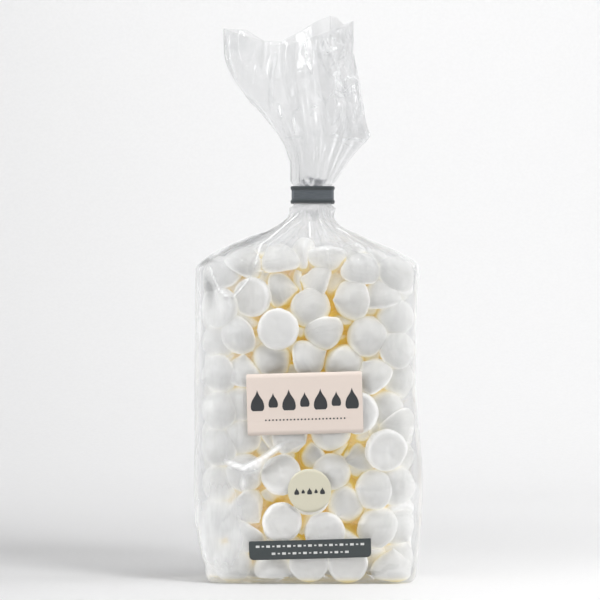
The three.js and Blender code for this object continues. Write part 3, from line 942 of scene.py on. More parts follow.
@dataclass
class Heap:
    """The kisses that fill the bag, let settle against each other and against the film."""

    left: float = -57.6
    right: float = 58.6
    floor: float = 1.1
    crown: float = 189.5
    crown_bend: float = 0.004  # how fast the heap's top falls off to the sides
    film_gap: float = 0.7
    pitch: Triple = (16.8, 16.4, 16.4)
    layers: Pair = (-27, 29)  # where the loose grid starts and ends from front to back
    lowest: float = 10.0  # middles of its first row
    shift: float = 2.6  # how far its kisses are moved at random
    heaped: float = 20.0  # how far over the crown it reaches at first
    clear: float = 13.6  # least distance of its kisses from those that show
    off_film: float = 5.0  # and from the film
    near_back: Pair = (14.0, 26.0)  # places behind the middle plane over which kisses turn to the back film
    disc_share: float = 0.33  # of the kisses at the back, how many turn their flat base to the film
    mix: tuple[float, ...] = (0.42, 0.3, 0.13, 0.15)  # share of each kind
    size_range: Pair = (0.94, 1.05)
    second_row: float = -17.5  # where kisses lie that close the holes between the ones that show
    second_hold: float = 0.12
    widest_hole: float = 8.2
    tucked: float = 0.90  # how much smaller the others find these
    firmness: float = 0.3  # how far a kiss that shows gives way, as a share of how far others do
    hold: float = 0.3  # how strongly the kisses that show are drawn back to their places
    last_hold: float = 0.2
    last_rounds: int = 25
    weight: float = 0.05
    closeness: float = 0.93  # kisses are pressed together to this share of their size
    lever: float = 45.0  # how hard a kiss is to turn, in square millimetres
    longest_push: float = 2.5
    widest_turn: float = 0.25
    reach_apart: float = 26.0  # no kisses further apart can touch
    seed: int = 11
    rounds: int = 300
    grow_rounds: int = 150
    smallest: float = 0.72
    cell: float = 0.25  # of the grid that holds distances to a kiss's surface
    below: int = 6  # how far that grid reaches under the base
    kiss: Kiss = field(default_factory=Kiss)

    def __post_init__(self) -> None:
        """Measures the distance to a kiss's surface on a grid, and spreads points over the surface."""
        profile = self.kiss.outline(60)
        rho, z = np.arange(0, 17, self.cell), np.arange(-self.below, 24, self.cell)
        grid = np.stack(np.meshgrid(rho, z, indexing="ij"), axis=-1)
        a, b = profile[:-1], profile[1:]
        run = b - a
        share = ((grid[:, :, None] - a) * run).sum(-1) / (run * run).sum(-1)
        nearest = a + np.clip(share, 0, 1)[..., None] * run
        away = np.linalg.norm(grid[:, :, None] - nearest, axis=-1).min(-1)
        rho, z = grid[..., 0], grid[..., 1]
        widest = np.interp(z, profile[3:, 1], profile[3:, 0], left=0, right=0)
        inside = (z > 0) & (z < profile[-1, 1]) & (rho < np.maximum(widest, 0.01))
        low_rim = (z > 0) & (z < profile[3, 1]) & (rho < 8.6)
        self.distance = np.where(inside | low_rim, -away, away)
        self.slope = np.stack(np.gradient(self.distance, self.cell), axis=-1)
        turn = np.linspace(0, 2 * np.pi, 12, endpoint=False)
        rings = [(9.4, 0.15), (10.8, 2.2), (10.7, 5.4), (8.9, 9.2), (5.2, 12.6)]
        shell = [(r * np.cos(t + k), r * np.sin(t + k), h) for k, (r, h) in enumerate(rings) for t in turn]
        shell += [(5 * np.cos(t), 5 * np.sin(t), 0.1) for t in turn[::3]]
        shell += [(0, 0, 0.2), (0, 0, 16.4), (1.8, 0, 15)]
        self.shell = np.array(shell) - [0, 0, self.kiss.middle]

    def start(self) -> tuple[Placement, Array, int]:
        """Puts the kisses that show in their places and fills the rest with a loose grid of others.

        Returns:
            The first placement, the way each tip points, and how many kisses lie in the second row.
        """
        random = np.random.default_rng(self.seed)
        shown = np.array([(k.x, 0.0, k.z) for k in FRONT_KISSES])
        tips = unit(np.array([k.tip for k in FRONT_KISSES], float))
        reach = np.array([self.reach(t) for t in tips])
        shown[:, 1] = -FORM.half_depth(shown[:, 0], shown[:, 2]) + self.film_gap + reach
        shown[:, 1] += np.array([k.back for k in FRONT_KISSES])
        behind = self.behind(shown)
        places = np.array(self.loose_grid(random))
        taken = np.vstack([shown, behind])
        places = np.array([p for p in places if np.linalg.norm(taken - p, axis=1).min() > self.clear])
        limit = FORM.half_depth(places[:, 0], places[:, 2]) - self.off_film
        places = places[(np.abs(places[:, 1]) < limit) & (places[:, 2] < self.crown - 7 + self.heaped)]
        places = np.vstack([behind, places])
        facing = unit(random.normal(size=(len(places), 3)))
        near_back = smoothstep(places[:, 1], *self.near_back)[:, None]
        discs = (random.uniform(size=(len(places), 1)) < self.disc_share) * near_back
        facing = unit(facing * (1 - discs) + discs * [0.12, -1.0, 0.1])
        middles = np.vstack([shown, places])
        tips = np.vstack([tips, facing])
        spin = random.uniform(0, 2 * np.pi, len(middles))
        frames = np.array([self.frame_of(t, s) for t, s in zip(tips, spin)])
        sizes = np.r_[[k.size for k in FRONT_KISSES], random.uniform(*self.size_range, len(places))]
        pick = random.choice(4, len(places), p=self.mix)
        kinds = [k.kind for k in FRONT_KISSES] + [list(KissKind)[i] for i in pick]
        return Placement(middles, frames, sizes, kinds), tips, len(behind)

    def loose_grid(self, random: np.random.Generator) -> list[Array]:
        """Places of a staggered grid through the bag, each moved a little at random."""
        dx, dy, dz = self.pitch
        places = []
        for layer, y in enumerate(np.arange(*self.layers, dy)):
            for row, z in enumerate(np.arange(self.lowest, self.crown - 6 + self.heaped, dz)):
                stagger = 0.5 * dx * ((row + layer) % 2)
                for x in np.arange(self.left + 10 + stagger, self.right - 7, dx):
                    jitter = random.uniform(-self.shift, self.shift, 3)
                    places.append((x, y, z + 0.5 * dz * (layer % 2)) + jitter)
        return places

    def behind(self, shown: Array) -> Array:
        """Places for kisses in a second row, one behind each hole that the first row leaves."""
        across = np.arange(self.left + 9, self.right - 8, 2.0)
        x, z = np.meshgrid(across, np.arange(self.lowest, self.crown - 10, 2.0))
        open_places = np.stack([x.ravel(), z.ravel()], -1)
        room = np.linalg.norm(open_places[:, None] - shown[None, :, [0, 2]], axis=-1).min(1)
        chosen = []
        while room.max() > self.widest_hole:
            best = open_places[room.argmax()]
            chosen.append((best[0], self.second_row, best[1]))
            room = np.minimum(room, np.linalg.norm(open_places - best, axis=-1) * 0.8)
        return np.array(chosen)

    def reach(self, tip: Array) -> float:
        """How far a kiss reaches from its middle towards the front when its tip points a given way."""
        return float(-(self.shell @ self.frame_of(tip, 0.0).T)[:, 1].min())

    @staticmethod
    def frame_of(tip: Array, spin: float) -> Array:
        """A rotation that turns +z to a tip's direction, after a turn about it."""
        turned = Vector((0, 0, 1)).rotation_difference(Vector(tip)).to_matrix()
        return np.array(turned @ Matrix.Rotation(spin, 3, "Z"))

    def settle(self) -> Placement:
        """Lets the kisses push each other apart while they grow to full size.

        Returns:
            Their places, turns, sizes and kinds.
        """
        first, tips, behind = self.start()
        middles, frames, sizes = first.middles, first.frames, first.sizes
        held = len(FRONT_KISSES)
        home, home_tips = middles[:held].copy(), tips[:held]
        second = slice(held, held + behind)
        second_home = middles[second].copy()
        given = np.full(len(middles), self.closeness)
        given[second] *= self.tucked
        self.give = np.where(np.arange(len(middles)) < held, self.firmness, 1.0)
        for step in range(self.rounds):
            grown_to = mixed(self.smallest, 1.0, min(1.0, step / self.grow_rounds))
            if step % 6 == 0:
                apart = np.linalg.norm(middles[:, None] - middles[None], axis=-1)
                pairs = np.nonzero((apart < self.reach_apart) & (apart > 0))
            push, turn, count = self.pushes(middles, frames, sizes * grown_to * given, *pairs)
            self.walls(middles, frames, sizes * grown_to, push, turn, count)
            share = 1.3 / np.maximum(count, 1.3)[:, None] ** 0.7
            push, turn = push * share, turn * share
            free = 1 - smoothstep(step, 0.55 * self.rounds, 0.95 * self.rounds)
            push[held:, 2] -= self.weight * free
            push[second] += self.second_hold * (second_home - middles[second])
            hold = self.hold if step < self.rounds - self.last_rounds else self.last_hold
            push[:held] += hold * (home - middles[:held]) * [1, 0.6, 1]
            turn[:held] += hold * np.cross(frames[:held, :, 2], home_tips)
            middles += np.clip(push, -self.longest_push, self.longest_push)
            frames = self.turned(frames, turn)
        for _ in range(4):
            push, turn, count = np.zeros_like(middles), np.zeros_like(middles), np.zeros(len(middles))
            self.walls(middles, frames, sizes, push, turn, count)
            middles += push
        LOG.info("heap: %d kisses, deepest overlap %.2f mm", len(middles), self.deepest)
        return Placement(middles, frames, sizes, first.kinds)

    def pushes(self, middles: Array, frames: Array, sizes: Array, first: Array,
               second: Array) -> tuple[Array, Array, Array]:
        """How kisses that overlap push each other.

        Args:
            middles: where the kisses are.
            frames: how they are turned.
            sizes: how large they are.
            first: one kiss of each pair that may touch.
            second: the other.

        Returns:
            Each kiss's move, turn and number of contacts.
        """
        shells = np.einsum("nij,mj->nmi", frames, self.shell) * sizes[:, None, None]
        apart = (middles[first] - middles[second])[:, None]
        local = np.einsum("kmi,kij->kmj", shells[first] + apart, frames[second])
        local /= sizes[second][:, None, None]
        rho = np.hypot(local[..., 0], local[..., 1])
        height = local[..., 2] + self.kiss.middle
        rows, columns = self.distance.shape
        row = np.clip(np.rint(rho / self.cell).astype(int), 0, rows - 1)
        column = np.clip(np.rint((height + self.below) / self.cell).astype(int), 0, columns - 1)
        gap = self.distance[row, column]
        deepest = gap.argmin(1)
        k = np.arange(len(first))
        depth = -gap[k, deepest] * sizes[second]
        touch = depth > 0
        self.deepest = float(depth.max(initial=0))
        k, deepest, depth = k[touch], deepest[touch], depth[touch]
        a, b = first[touch], second[touch]
        slope = self.slope[row[k, deepest], column[k, deepest]]
        flat = local[k, deepest][:, :2] / np.maximum(rho[k, deepest], 0.05)[:, None]
        normal = unit(np.c_[flat * slope[:, :1], slope[:, 1:]])
        normal = np.einsum("kij,kj->ki", frames[b], normal)
        arm = shells[a, deepest]
        other = middles[a] + arm - middles[b]
        push, turn = np.zeros_like(middles), np.zeros_like(middles)
        count = np.zeros(len(middles))
        split = (self.give[a] / (self.give[a] + self.give[b]))[:, None]
        move = depth[:, None] * normal
        for kiss, part, lever in ((a, split, arm), (b, split - 1, other)):
            np.add.at(push, kiss, part * move)
            np.add.at(turn, kiss, np.cross(lever, part * move) / self.lever)
            np.add.at(count, kiss, 1)
        return push, turn, count

    def walls(self, middles: Array, frames: Array, sizes: Array, push: Array,
              turn: Array, count: Array) -> None:
        """Adds what the film, the floor and the heap's top do to the kisses that reach past them."""
        shells = np.einsum("nij,mj->nmi", frames, self.shell) * sizes[:, None, None]
        x, y, z = np.moveaxis(shells + middles[:, None], -1, 0)
        depth = FORM.half_depth(x, z) - self.film_gap
        past = {
            (0, 1, 0): -depth - y,
            (0, -1, 0): y - depth,
            (1, 0, 0): self.left - x,
            (-1, 0, 0): x - self.right,
            (0, 0, 1): self.floor - z,
            (0, 0, -1): z - self.crown + self.crown_bend * x ** 2,
        }
        for normal, over in past.items():
            worst = over.argmax(1)
            k = np.nonzero(over[np.arange(len(over)), worst] > 0)[0]
            move = over[k, worst[k]][:, None] * np.array(normal, float)
            push[k] += move
            turn[k] += np.cross(shells[k, worst[k]], move) / self.lever
            count[k] += 1

    def turned(self, frames: Array, turn: Array) -> Array:
        """Rotation matrices after small turns."""
        angle = np.linalg.norm(turn, axis=1, keepdims=True)
        axis = turn / np.maximum(angle, 1e-9)
        half = 0.5 * np.minimum(angle, self.widest_turn)
        w = np.cos(half)[:, 0]
        x, y, z = (axis * np.sin(half)).T
        rotation = np.stack([
            np.stack([1 - 2 * (y * y + z * z), 2 * (x * y - z * w), 2 * (x * z + y * w)], -1),
            np.stack([2 * (x * y + z * w), 1 - 2 * (x * x + z * z), 2 * (y * z - x * w)], -1),
            np.stack([2 * (x * z - y * w), 2 * (y * z + x * w), 1 - 2 * (x * x + y * y)], -1),
        ], -2)
        return rotation @ frames


@dataclass
class KissPile:
    """The meshes of the kisses in the bag, one piece for each kind."""

    heap: Heap = field(default_factory=Heap)
    lump: float = 0.22  # how uneven a kiss's dome is
    uneven: Pair = (0.965, 1.035)  # a kiss's size along each of its axes
    seed: int = 5
    film_gap: float = 0.5
    near: float = 34.0  # kisses further off add nothing to the painted shade
    shading: float = 100.0  # square of the distance at which a kiss gives a point its full share of painted shade

    def tree(self) -> NodeTree:
        """Builds the node tree that sets a kiss on every point, turned and sized by its attributes."""
        graph = GeometryTree("kisses on points", "Kiss", Size=("Float", 1.0))
        turn, size = (
            graph.out("GeometryNodeInputNamedAttribute", {"Name": name}, data_type="FLOAT_VECTOR")
            for name in ("turn", "size")
        )
        scale = graph.vector("SCALE", size)
        graph.feed(scale.socket.node.inputs["Scale"], graph.given["Size"])
        rotation = graph.out("FunctionNodeEulerToRotation", {0: turn})
        return graph.set_on(graph.given["Geometry"], Rotation=rotation, Scale=scale)

    def build(self, finish: Material) -> list[Object]:
        """Makes the kisses.

        Args:
            finish: the meringue material.

        Returns:
            One object for each kind of kiss.
        """
        placement = self.heap.settle()
        tree = self.tree()
        random = np.random.default_rng(self.seed)
        pieces = []
        for kind in KissKind:
            chosen = np.array([i for i, k in enumerate(placement.kinds) if k is kind])
            pattern = Kiss(kind=kind).make()
            points = make_mesh(f"kisses_{kind.value}_points", placement.middles[chosen], [])
            turns = [Matrix(placement.frames[i].tolist()).to_euler() for i in chosen]
            sizes = placement.sizes[chosen, None] * random.uniform(*self.uneven, (len(chosen), 3))
            paint(points, turn=turns, size=sizes)
            given = {"Kiss": pattern, "Size": 1.0, "Finish": finish}
            piece = grown(points, tree, f"kisses_{kind.value}", given)
            bpy.data.objects.remove(pattern)
            self.finish_form(piece, placement, chosen)
            pieces.append(piece)
            LOG.info("%s: %d kisses", piece.name, len(chosen))
        return pieces

    def finish_form(self, piece: Object, placement: Placement, chosen: Array) -> None:
        """Makes each kiss a little uneven and records how deep every point lies among the other kisses, for the
        meringue's painted shade and painted glow.
        """
        points, normals = points_of(piece), normals_of(piece)
        owner = np.repeat(chosen, len(points) // len(chosen))
        uneven = self.lump * lumps(points, 0.55, seed=3) + 0.5 * self.lump * lumps(points, 1.3, seed=4)
        points += normals * uneven[:, None]
        points = FORM.drawn_in(points, self.film_gap)
        move_points(piece, points)
        gap = np.zeros(len(points))
        for i in chosen:
            mine = owner == i
            away = np.linalg.norm(placement.middles - placement.middles[i], axis=1)
            near = np.nonzero((away < self.near) & (away > 0))[0]
            to = placement.middles[near][None] - points[mine][:, None]
            far = np.linalg.norm(to, axis=-1)
            facing = np.clip((to * normals[mine][:, None]).sum(-1) / far + 0.25, 0, 1.25) / 1.25
            gap[mine] = (np.minimum(self.shading / far ** 2, 1.0) * facing).sum(1)
        x, y, z = points.T
        walls = [x - self.heap.left, self.heap.right - x, self.heap.crown - z]
        inward = np.minimum.reduce([FORM.half_depth(x, z) - np.abs(y), *walls])
        tones = np.random.default_rng(len(chosen)).uniform(size=len(placement.middles))
        paint(piece, gap=gap, tone=tones[owner], inward=inward)


# ---- Film ----


@dataclass(frozen=True)
class Crease:
    """A crease in the front film, as places across and up, in order along it."""

    line: tuple[Pair, ...]
    width: float = 1.2
    rise: float = 0.5
    # How strongly it is painted white as a highlight; for a dark fold, how strongly it is painted dark.
    white: float = 0.5

    def nearness(self, points: Array) -> Array:
        """1 on the crease, falling to 0 at its width to either side."""
        place = points[..., [0, 2]]
        line = np.array(self.line, float)
        away = np.full(place.shape[:-1], np.inf)
        for a, b in zip(line[:-1], line[1:]):
            run = b - a
            t = np.clip(((place - a) @ run) / (run @ run), 0, 1)
            away = np.minimum(away, np.linalg.norm(place - (a + t[..., None] * run), axis=-1))
        ends = np.minimum(np.linalg.norm(place - line[0], axis=-1), np.linalg.norm(place - line[-1], axis=-1))
        return np.maximum(1 - away / self.width, 0) * (0.25 + 0.75 * smoothstep(ends, 0, 4 * self.width))


# Creases of the front film: each raises the film and is painted white along it as a highlight, with painted
# shade beside it.
CREASES = (
    # From the neck down the left of the roof, over the shoulder
    Crease(((-2.5, 206), (-14, 196.5), (-25.8, 186), (-27.6, 178), (-28.6, 171)), 1, 1, 0.78),
    Crease(((-1, 202), (-12, 193.5), (-21.5, 185.5), (-23.6, 178.5), (-23.9, 171.5)), 0.9, 0.7, 0.55),
    Crease(((-28.8, 171), (-24, 170.2), (-19.6, 168.9)), 1.2, 0.5, 0.9),
    # The left corner's fold
    Crease(((-54.1, 176), (-51.5, 168), (-48.1, 160.4), (-44.5, 157.2), (-40.4, 156.6),
            (-36, 161.5), (-30.1, 169)), 1.2, 0.8, 0.85),
    Crease(((-54.6, 178), (-42, 186), (-28.4, 193.4), (-17.5, 201)), 1.3, 0.9, 0.55),
    Crease(((-58, 176), (-43, 188.6), (-27.4, 197.4)), 1.2, 0.8, 0.35),
    Crease(((-56.5, 170), (-52.5, 162), (-49.5, 156)), 1.2, -0.6, 0.2),
    # The right of the roof
    Crease(((14, 197.4), (21, 194), (26, 190.5)), 1, 0.7, 0.6),
    Crease(((24.5, 189.8), (28, 186.2), (31.5, 184)), 1.8, 0.4, 0.7),
    Crease(((31.5, 186.6), (33.5, 183.8), (38, 181.6)), 1.8, 0.4, 0.7),
    Crease(((29.5, 184.5), (31.5, 181)), 1.3, 0.4, 0.5),
    Crease(((8, 186), (20, 182.6), (32, 178.8), (42.5, 175.8)), 1.4, 0.7, 0.35),
    Crease(((12, 190), (26, 184.5), (40, 179)), 1.1, 0.5, 0.25),
    Crease(((18, 177), (30, 174), (44, 171.5)), 1.3, 0.5, 0.25),
    Crease(((57.5, 176), (50, 181), (44, 186)), 1.3, 0.6, 0.4),
    Crease(((60.5, 178), (62, 171), (62.4, 165)), 1.2, 0.5, 0.7),
    # Up to the neck
    Crease(((1.4, 188), (1.6, 194), (1.2, 199.5), (3.6, 200.8)), 1, 0.4, 0.8),
    Crease(((9.6, 196), (8, 200), (6, 203.5)), 0.9, 0.4, 0.7),
    Crease(((-6, 189), (-4.4, 196), (-1.5, 203)), 0.8, 0.4, 0.35),
    Crease(((-10, 187), (-7.4, 195), (-3.5, 201)), 0.7, 0.3, 0.3),
    Crease(((-15, 189.5), (-8, 190.5), (0.5, 190.2)), 0.7, 0.3, 0.3),
    Crease(((6, 187.6), (15, 187), (24, 187.6)), 0.7, 0.3, 0.35),
    Crease(((20, 188), (14, 196), (9.5, 203)), 0.8, 0.5, 0.35),
    Crease(((30, 184), (21, 193), (11.5, 202.5)), 0.8, 0.5, 0.35),
    Crease(((26.5, 188.5), (30.5, 184.5), (33, 186.5)), 1, 0.4, 0.6),
    Crease(((48, 181), (31, 191), (12, 204.5)), 0.8, 0.4, 0.3),
    # Across the body, among them the painted glare at the left
    Crease(((-47.5, 69.5), (-41, 65.5), (-34.4, 63.2), (-22, 70), (-11, 78)), 2.4, 0.2, 1),
    Crease(((-51, 69.6), (-42, 65.5), (-34.4, 62.5)), 4.6, 0.3, 1),
    Crease(((-42, 62), (-33, 62), (-24, 67), (-14, 75)), 5.4, 0.2, 0.85),
    Crease(((-34.4, 65), (-35.6, 45)), 4.6, 0.2, 0.95),
    Crease(((-45, 61), (-35, 57), (-29, 52)), 9, 0, 0.4),
    Crease(((-37, 60), (-44, 52)), 1.6, 0.2, 0.5),
    Crease(((-30, 61), (-26, 54)), 1.6, 0.2, 0.5),
    Crease(((-32, 24), (-30, 28), (-31.5, 32)), 2.2, 0.2, 0.4),
    Crease(((-46.4, 34.3), (-41, 39.7)), 0.9, 0.2, 0.6),
    Crease(((44, 55.6), (51.7, 55.8)), 0.9, 0.2, 0.5),
    Crease(((-60.8, 25.1), (-57.5, 14), (-53.8, 4.4)), 1.3, 0.4, 0.25),
    Crease(((-63, 24), (-59.6, 12), (-56.5, 3)), 1.1, 0.3, 0.15),
    Crease(((-53, 4.8), (-45, 3), (-38, 2.4)), 1, 0.3, 0.35),
    Crease(((59.6, 22), (60.5, 12), (58.6, 4)), 1.2, 0.5, 0.4),
)

DARK_FOLDS = (
    # Painted shade where the film lies double and is seen edge on, at the left shoulder and down the gusset
    Crease(((-58.4, 175.4), (-51.8, 178.2)), 3.2, -0.3, 1.8),
    Crease(((-56, 170), (-53.6, 160), (-53, 152)), 3.4, -0.2, 0.75),
    Crease(((-54, 178), (-42, 185.5), (-27, 193.5), (-14, 200.5)), 5, 0, 0.7),
    Crease(((-33, 180), (-36, 172), (-35, 164)), 6, 0, 0.3),
    Crease(((-2, 206.5), (3, 204), (4.5, 202), (5.5, 204.5), (9, 207)), 2.2, 0, 0.5),
    # At the left foot
    Crease(((-62, 30), (-60, 16), (-55.5, 4)), 2.2, 0, 0.5),
)

# Creases of the tail: each raises the film and is painted white along it as a highlight, with painted shade
# beside it.
TAIL_CREASES = (
    # A painted highlight on the bright facet in the middle
    Crease(((-3.6, 297), (-1.2, 298.2), (-0.6, 294)), 2.6, 0.3, 0.95),
    Crease(((-1.2, 294.6), (0.4, 289.5)), 2.2, 0.3, 0.95),
    Crease(((0.2, 290), (2.9, 281.4)), 1.3, 0.3, 0.95),
    # Down the left edge
    Crease(((-34, 271.8), (-26, 261), (-16, 244.6)), 0.9, 0.2, 0.15),
    Crease(((-31, 269.8), (-23.2, 260), (-17.2, 250.2)), 0.8, 0.2, 0.3),
    Crease(((-45, 306), (-43, 290), (-38.6, 277)), 0.9, 0.3, 0.3),
    # Folds and small glints, painted as highlights
    Crease(((-16.7, 294.9), (-18.9, 280.9), (-20, 261.4)), 1.6, 0.5, 0.22),
    Crease(((-15.3, 265.3), (-14.5, 256.9)), 1, 0.3, 0.85),
    Crease(((-7.8, 259.1), (-6.7, 248)), 0.9, 0.3, 0.5),
    Crease(((-6, 261), (-3.6, 263.4)), 0.8, 0.2, 0.55),
    Crease(((2.2, 262.5), (6.7, 264.7)), 0.8, 0.2, 0.5),
    Crease(((4.6, 261), (1.8, 258)), 0.7, 0.2, 0.4),
    Crease(((13.3, 248), (18.3, 247.7)), 1.1, 0.3, 0.6),
    Crease(((18.3, 245.2), (26.6, 246.3), (34.4, 244.6)), 0.9, 0.5, 0.35),
    Crease(((-12.8, 246.9), (-1.1, 246.3)), 0.7, 0.2, 0.3),
    Crease(((6.1, 296), (14.4, 280.3), (25, 269.2)), 1.3, 0.6, 0.22),
    Crease(((8.9, 300.4), (18.9, 282.6), (23.9, 271.4)), 1.2, 0.5, 0.18),
    Crease(((14.4, 274.8), (20, 273.6), (23.9, 269.2)), 1, 0.4, 0.25),
    Crease(((15, 272), (18.9, 269.4), (25, 270.8)), 0.9, 0.4, 0.3),
    Crease(((27.8, 298.2), (28.9, 278.1), (32.8, 256.9)), 1.2, 0.4, 0.25),
)


@dataclass
class Relief:
    """How far each point of the film stands out, and how much painted highlight and painted shade it gets,
    built up step by step.
    """

    rise: Array
    white: Array
    dim: Array

    def whiten(self, values: Array) -> None:
        """Paints points with at least as much highlight as given."""
        self.white = np.maximum(self.white, values)

    def darken(self, values: Array) -> None:
        """Paints points with at least as much shade as given."""
        self.dim = np.maximum(self.dim, values)


@dataclass
class FilmBag:
    """The film of the filled body, of the roof and of the gathered neck, closed under its base."""

    columns: tuple[int, int, int] = (128, 40, 64)  # front, each side, back
    body_rows: int = 104
    roof_rows: int = 44
    base_rings: int = 5
    thickness: float = 0.18
    neck_rows: Triple = (209.5, 212.5, 216.0)
    pleats: int = 21
    pleat_depth: float = 1.3
    base_ends: Pair = (1.5, 9.0)  # heights over which the film's relief sets in
    neck_starts: Pair = (0.86, 0.97)  # shares of the roof over which it goes again
    roof_starts: Pair = (158.0, 182.0)  # heights over which the roof's looks set in
    corners: Pair = (50.0, 61.0)  # places across over which the corners' looks set in
    faces_front: Pair = (12.0, 20.0)  # places before the middle plane over which the front's looks set in
    rays: int = 47  # folds that fan out from the neck over the roof
    ray_starts: Pair = (0.02, 0.35)  # shares of the roof over which they set in
    ray_rise: float = 0.45
    # Painted highlight on the fan's folds, and painted shade in their valleys.
    ray_white: float = 0.42
    ray_dark: float = 0.35
    beside: Triple = (0.9, 0.0, 0.9)  # where the painted shade beside a crease lies
    beside_dark: float = 0.6  # how dark that painted shade is, as a share of how strongly the crease is painted white
    rough_looks: Pair = (0.16, 0.24)  # how rough the corners and the roof look
    crumple_rises: Triple = (0.3, 0.15, 0.35)  # of the corners, of everything, and of the finest
    drawn_rise: float = 0.5
    haze_right: Triple = (28.0, 52.0, 0.2)  # places across over which it sets in, and how much there is
    haze_left: Triple = (16.0, 48.0, 0.43)
    haze_roof: Triple = (152.0, 178.0, 0.29)  # heights over which it sets in, and how much there is
    haze_base: Triple = (2.0, 14.0, 0.08)
    haze_all: float = 0.03
    painted_shade_roof: Triple = (18.0, 50.0, 0.3)  # painted shade over the roof, set in as for the haze, to the left
    # painted shade down the left and right gussets
    painted_shade_left: Triple = (53.0, 60.0, 0.34)
    painted_shade_right: Triple = (54.0, 60.0, 0.06)
    furthest: float = 9.0  # how far under the film a kiss is looked for
    sag: Pair = (0.34, 1.4)  # share of the free room that the film sinks, and the most that it does
    most_rise: float = 1.3
    lowest: float = 0.2
    base_height: float = 0.35
    under_base: dict[str, float] = field(default_factory=lambda: {"haze": 0.1, "rough": 0.3})
    seed: int = 21

    def shares(self) -> Array:
        """Places of the columns round the bag."""
        front, side, back = self.columns
        edge = FORM.front_share
        stretches = ((0, edge, front), (edge, 0.5, side), (0.5, 0.5 + edge, back), (0.5 + edge, 1, side))
        return np.concatenate([np.linspace(*stretch, endpoint=False) for stretch in stretches])

    def pleat(self, share: Array) -> Array:
        """Uneven pleats: 1 on a crest and -1 in a valley."""
        uneven = share + 0.009 * sway(3 * share + 0.2) + 0.006 * sway(7 * share + 0.6)
        return triangle_wave(self.pleats * uneven) * (0.7 + 0.45 * sway(5 * share + 0.1))

    def rings(self) -> tuple[Array, Array]:
        """The film's smooth form as rows of points, and each point's share of the way up the roof."""
        share = self.shares()
        px, py = FORM.on_plan(share, 2)
        pleat = self.pleat(share)
        heights = np.linspace(0, FORM.shoulder, self.body_rows, endpoint=False)
        rows = [FORM.body_points(share, np.full_like(share, z)) for z in heights]
        ups = np.linspace(0, 1, self.roof_rows + 1)
        for up in ups:
            ring = FORM.roof_points(share, up)
            drawn = self.pleat_depth * pleat * up * (1 - 0.6 * up)
            ring[:, 0] += px * drawn
            ring[:, 1] += py * drawn * 0.6
            rows.append(ring)
        for z in self.neck_rows:
            x = FORM.neck_x + px * (FORM.neck_waist[0] + 0.3 * pleat)
            y = py * (FORM.neck_waist[1] + 0.6 * (0.3 * pleat))
            rows.append(np.stack([x, y, np.full_like(x, z)], -1))
        up = np.r_[np.zeros(self.body_rows), ups, np.ones(len(self.neck_rows))]
        return np.array(rows), np.broadcast_to(up[:, None], (len(rows), len(share)))

    def build(self, kisses: Sequence[Object], stickers: Sequence["Sticker"]) -> Object:
        """Makes the film, lying lightly on the kisses.

        Args:
            kisses: the kisses' objects.
            stickers: the stickers, under which the film stays smooth.

        Returns:
            The film as a thin closed shell.
        """
        grid, up = self.rings()
        out = round_grid(grid)
        x, y, z = np.moveaxis(grid, -1, 0)
        front = smoothstep(-y, *self.faces_front)
        free = 1 - np.max([s.covers(grid) for s in stickers], axis=0) * front
        bounded = smoothstep(z, *self.base_ends) * (1 - smoothstep(up, *self.neck_starts))
        roof, corner = smoothstep(z, *self.roof_starts), smoothstep(np.abs(x), *self.corners)
        sink = self.sink(grid, out, kisses) * free * bounded
        relief = Relief(*np.zeros((3, *up.shape)))
        self.crease(relief, grid, front, free)
        self.fan(relief, grid, up)
        at_corners, everywhere, finest = self.crumple_rises
        crumple = self.crumpled(grid) * (corner * at_corners + everywhere) * (1 - roof)
        relief.rise += (crumple + self.fine(grid) * finest) * bounded * free
        relief.rise += self.drawn(up) * self.drawn_rise * roof * bounded * free
        grid = grid + out * np.minimum(relief.rise - sink, self.most_rise)[..., None]
        grid[..., 2] = np.maximum(grid[..., 2], self.lowest)
        haze = self.haze(grid, up) * (1 - 0.7 * np.clip(relief.dim * 1.4, 0, 1))
        x = grid[..., 0]
        # Painted shade over the left of the roof and down the gussets.
        relief.darken(roof * setting_in(-x, self.painted_shade_roof))
        relief.darken(setting_in(-x, self.painted_shade_left) + setting_in(x, self.painted_shade_right))
        rough = corner * self.rough_looks[0] * (1 - roof) + self.rough_looks[1] * roof
        return self.close(grid, haze=haze, crease=relief.white, dim=relief.dim, rough=rough, roof=roof)

    def crease(self, relief: Relief, grid: Array, front: Array, free: Array) -> None:
        """Adds the single creases, painted white along them as highlights with painted shade beside them, and
        the dark folds painted as shade, where they face the front or the roof.
        """
        facing = np.maximum(front, smoothstep(grid[..., 2], 165, 175) * smoothstep(-grid[..., 1], -3, 2))
        for crease in CREASES:
            near = crease.nearness(grid) * facing
            relief.rise += crease.rise * near * free
            relief.whiten(crease.white * near)
            relief.darken(self.beside_dark * crease.white * crease.nearness(grid + self.beside) * facing)
        for fold in DARK_FOLDS:
            near = fold.nearness(grid) * facing
            relief.rise += fold.rise * near
            relief.darken(fold.white * smoothstep(near, 0, 0.5))

    def fan(self, relief: Relief, grid: Array, up: Array) -> None:
        """Adds the folds that fan out from the neck, painted as highlights in some patches and with painted
        shade in their valleys in the others.
        """
        share = np.broadcast_to(self.shares()[None], up.shape)
        wander = share + 0.004 * np.sin(14 * up + 40 * share) + 0.003 * sway(11 * share)
        patchy = smoothstep(lumps(grid, 0.12, self.seed + 7), -0.3, 1.0)
        above = smoothstep(up, *self.ray_starts)
        fan = smoothstep(triangle_wave(self.rays * wander), 0.55, 1.0) * above * patchy
        valley = smoothstep(triangle_wave(self.rays * wander + 0.2), 0.5, 1.0) * above
        relief.rise += self.ray_rise * fan
        relief.whiten(self.ray_white * fan * (1 - smoothstep(up, 0.9, 1.0)))
        relief.darken(self.ray_dark * valley * (1 - patchy))

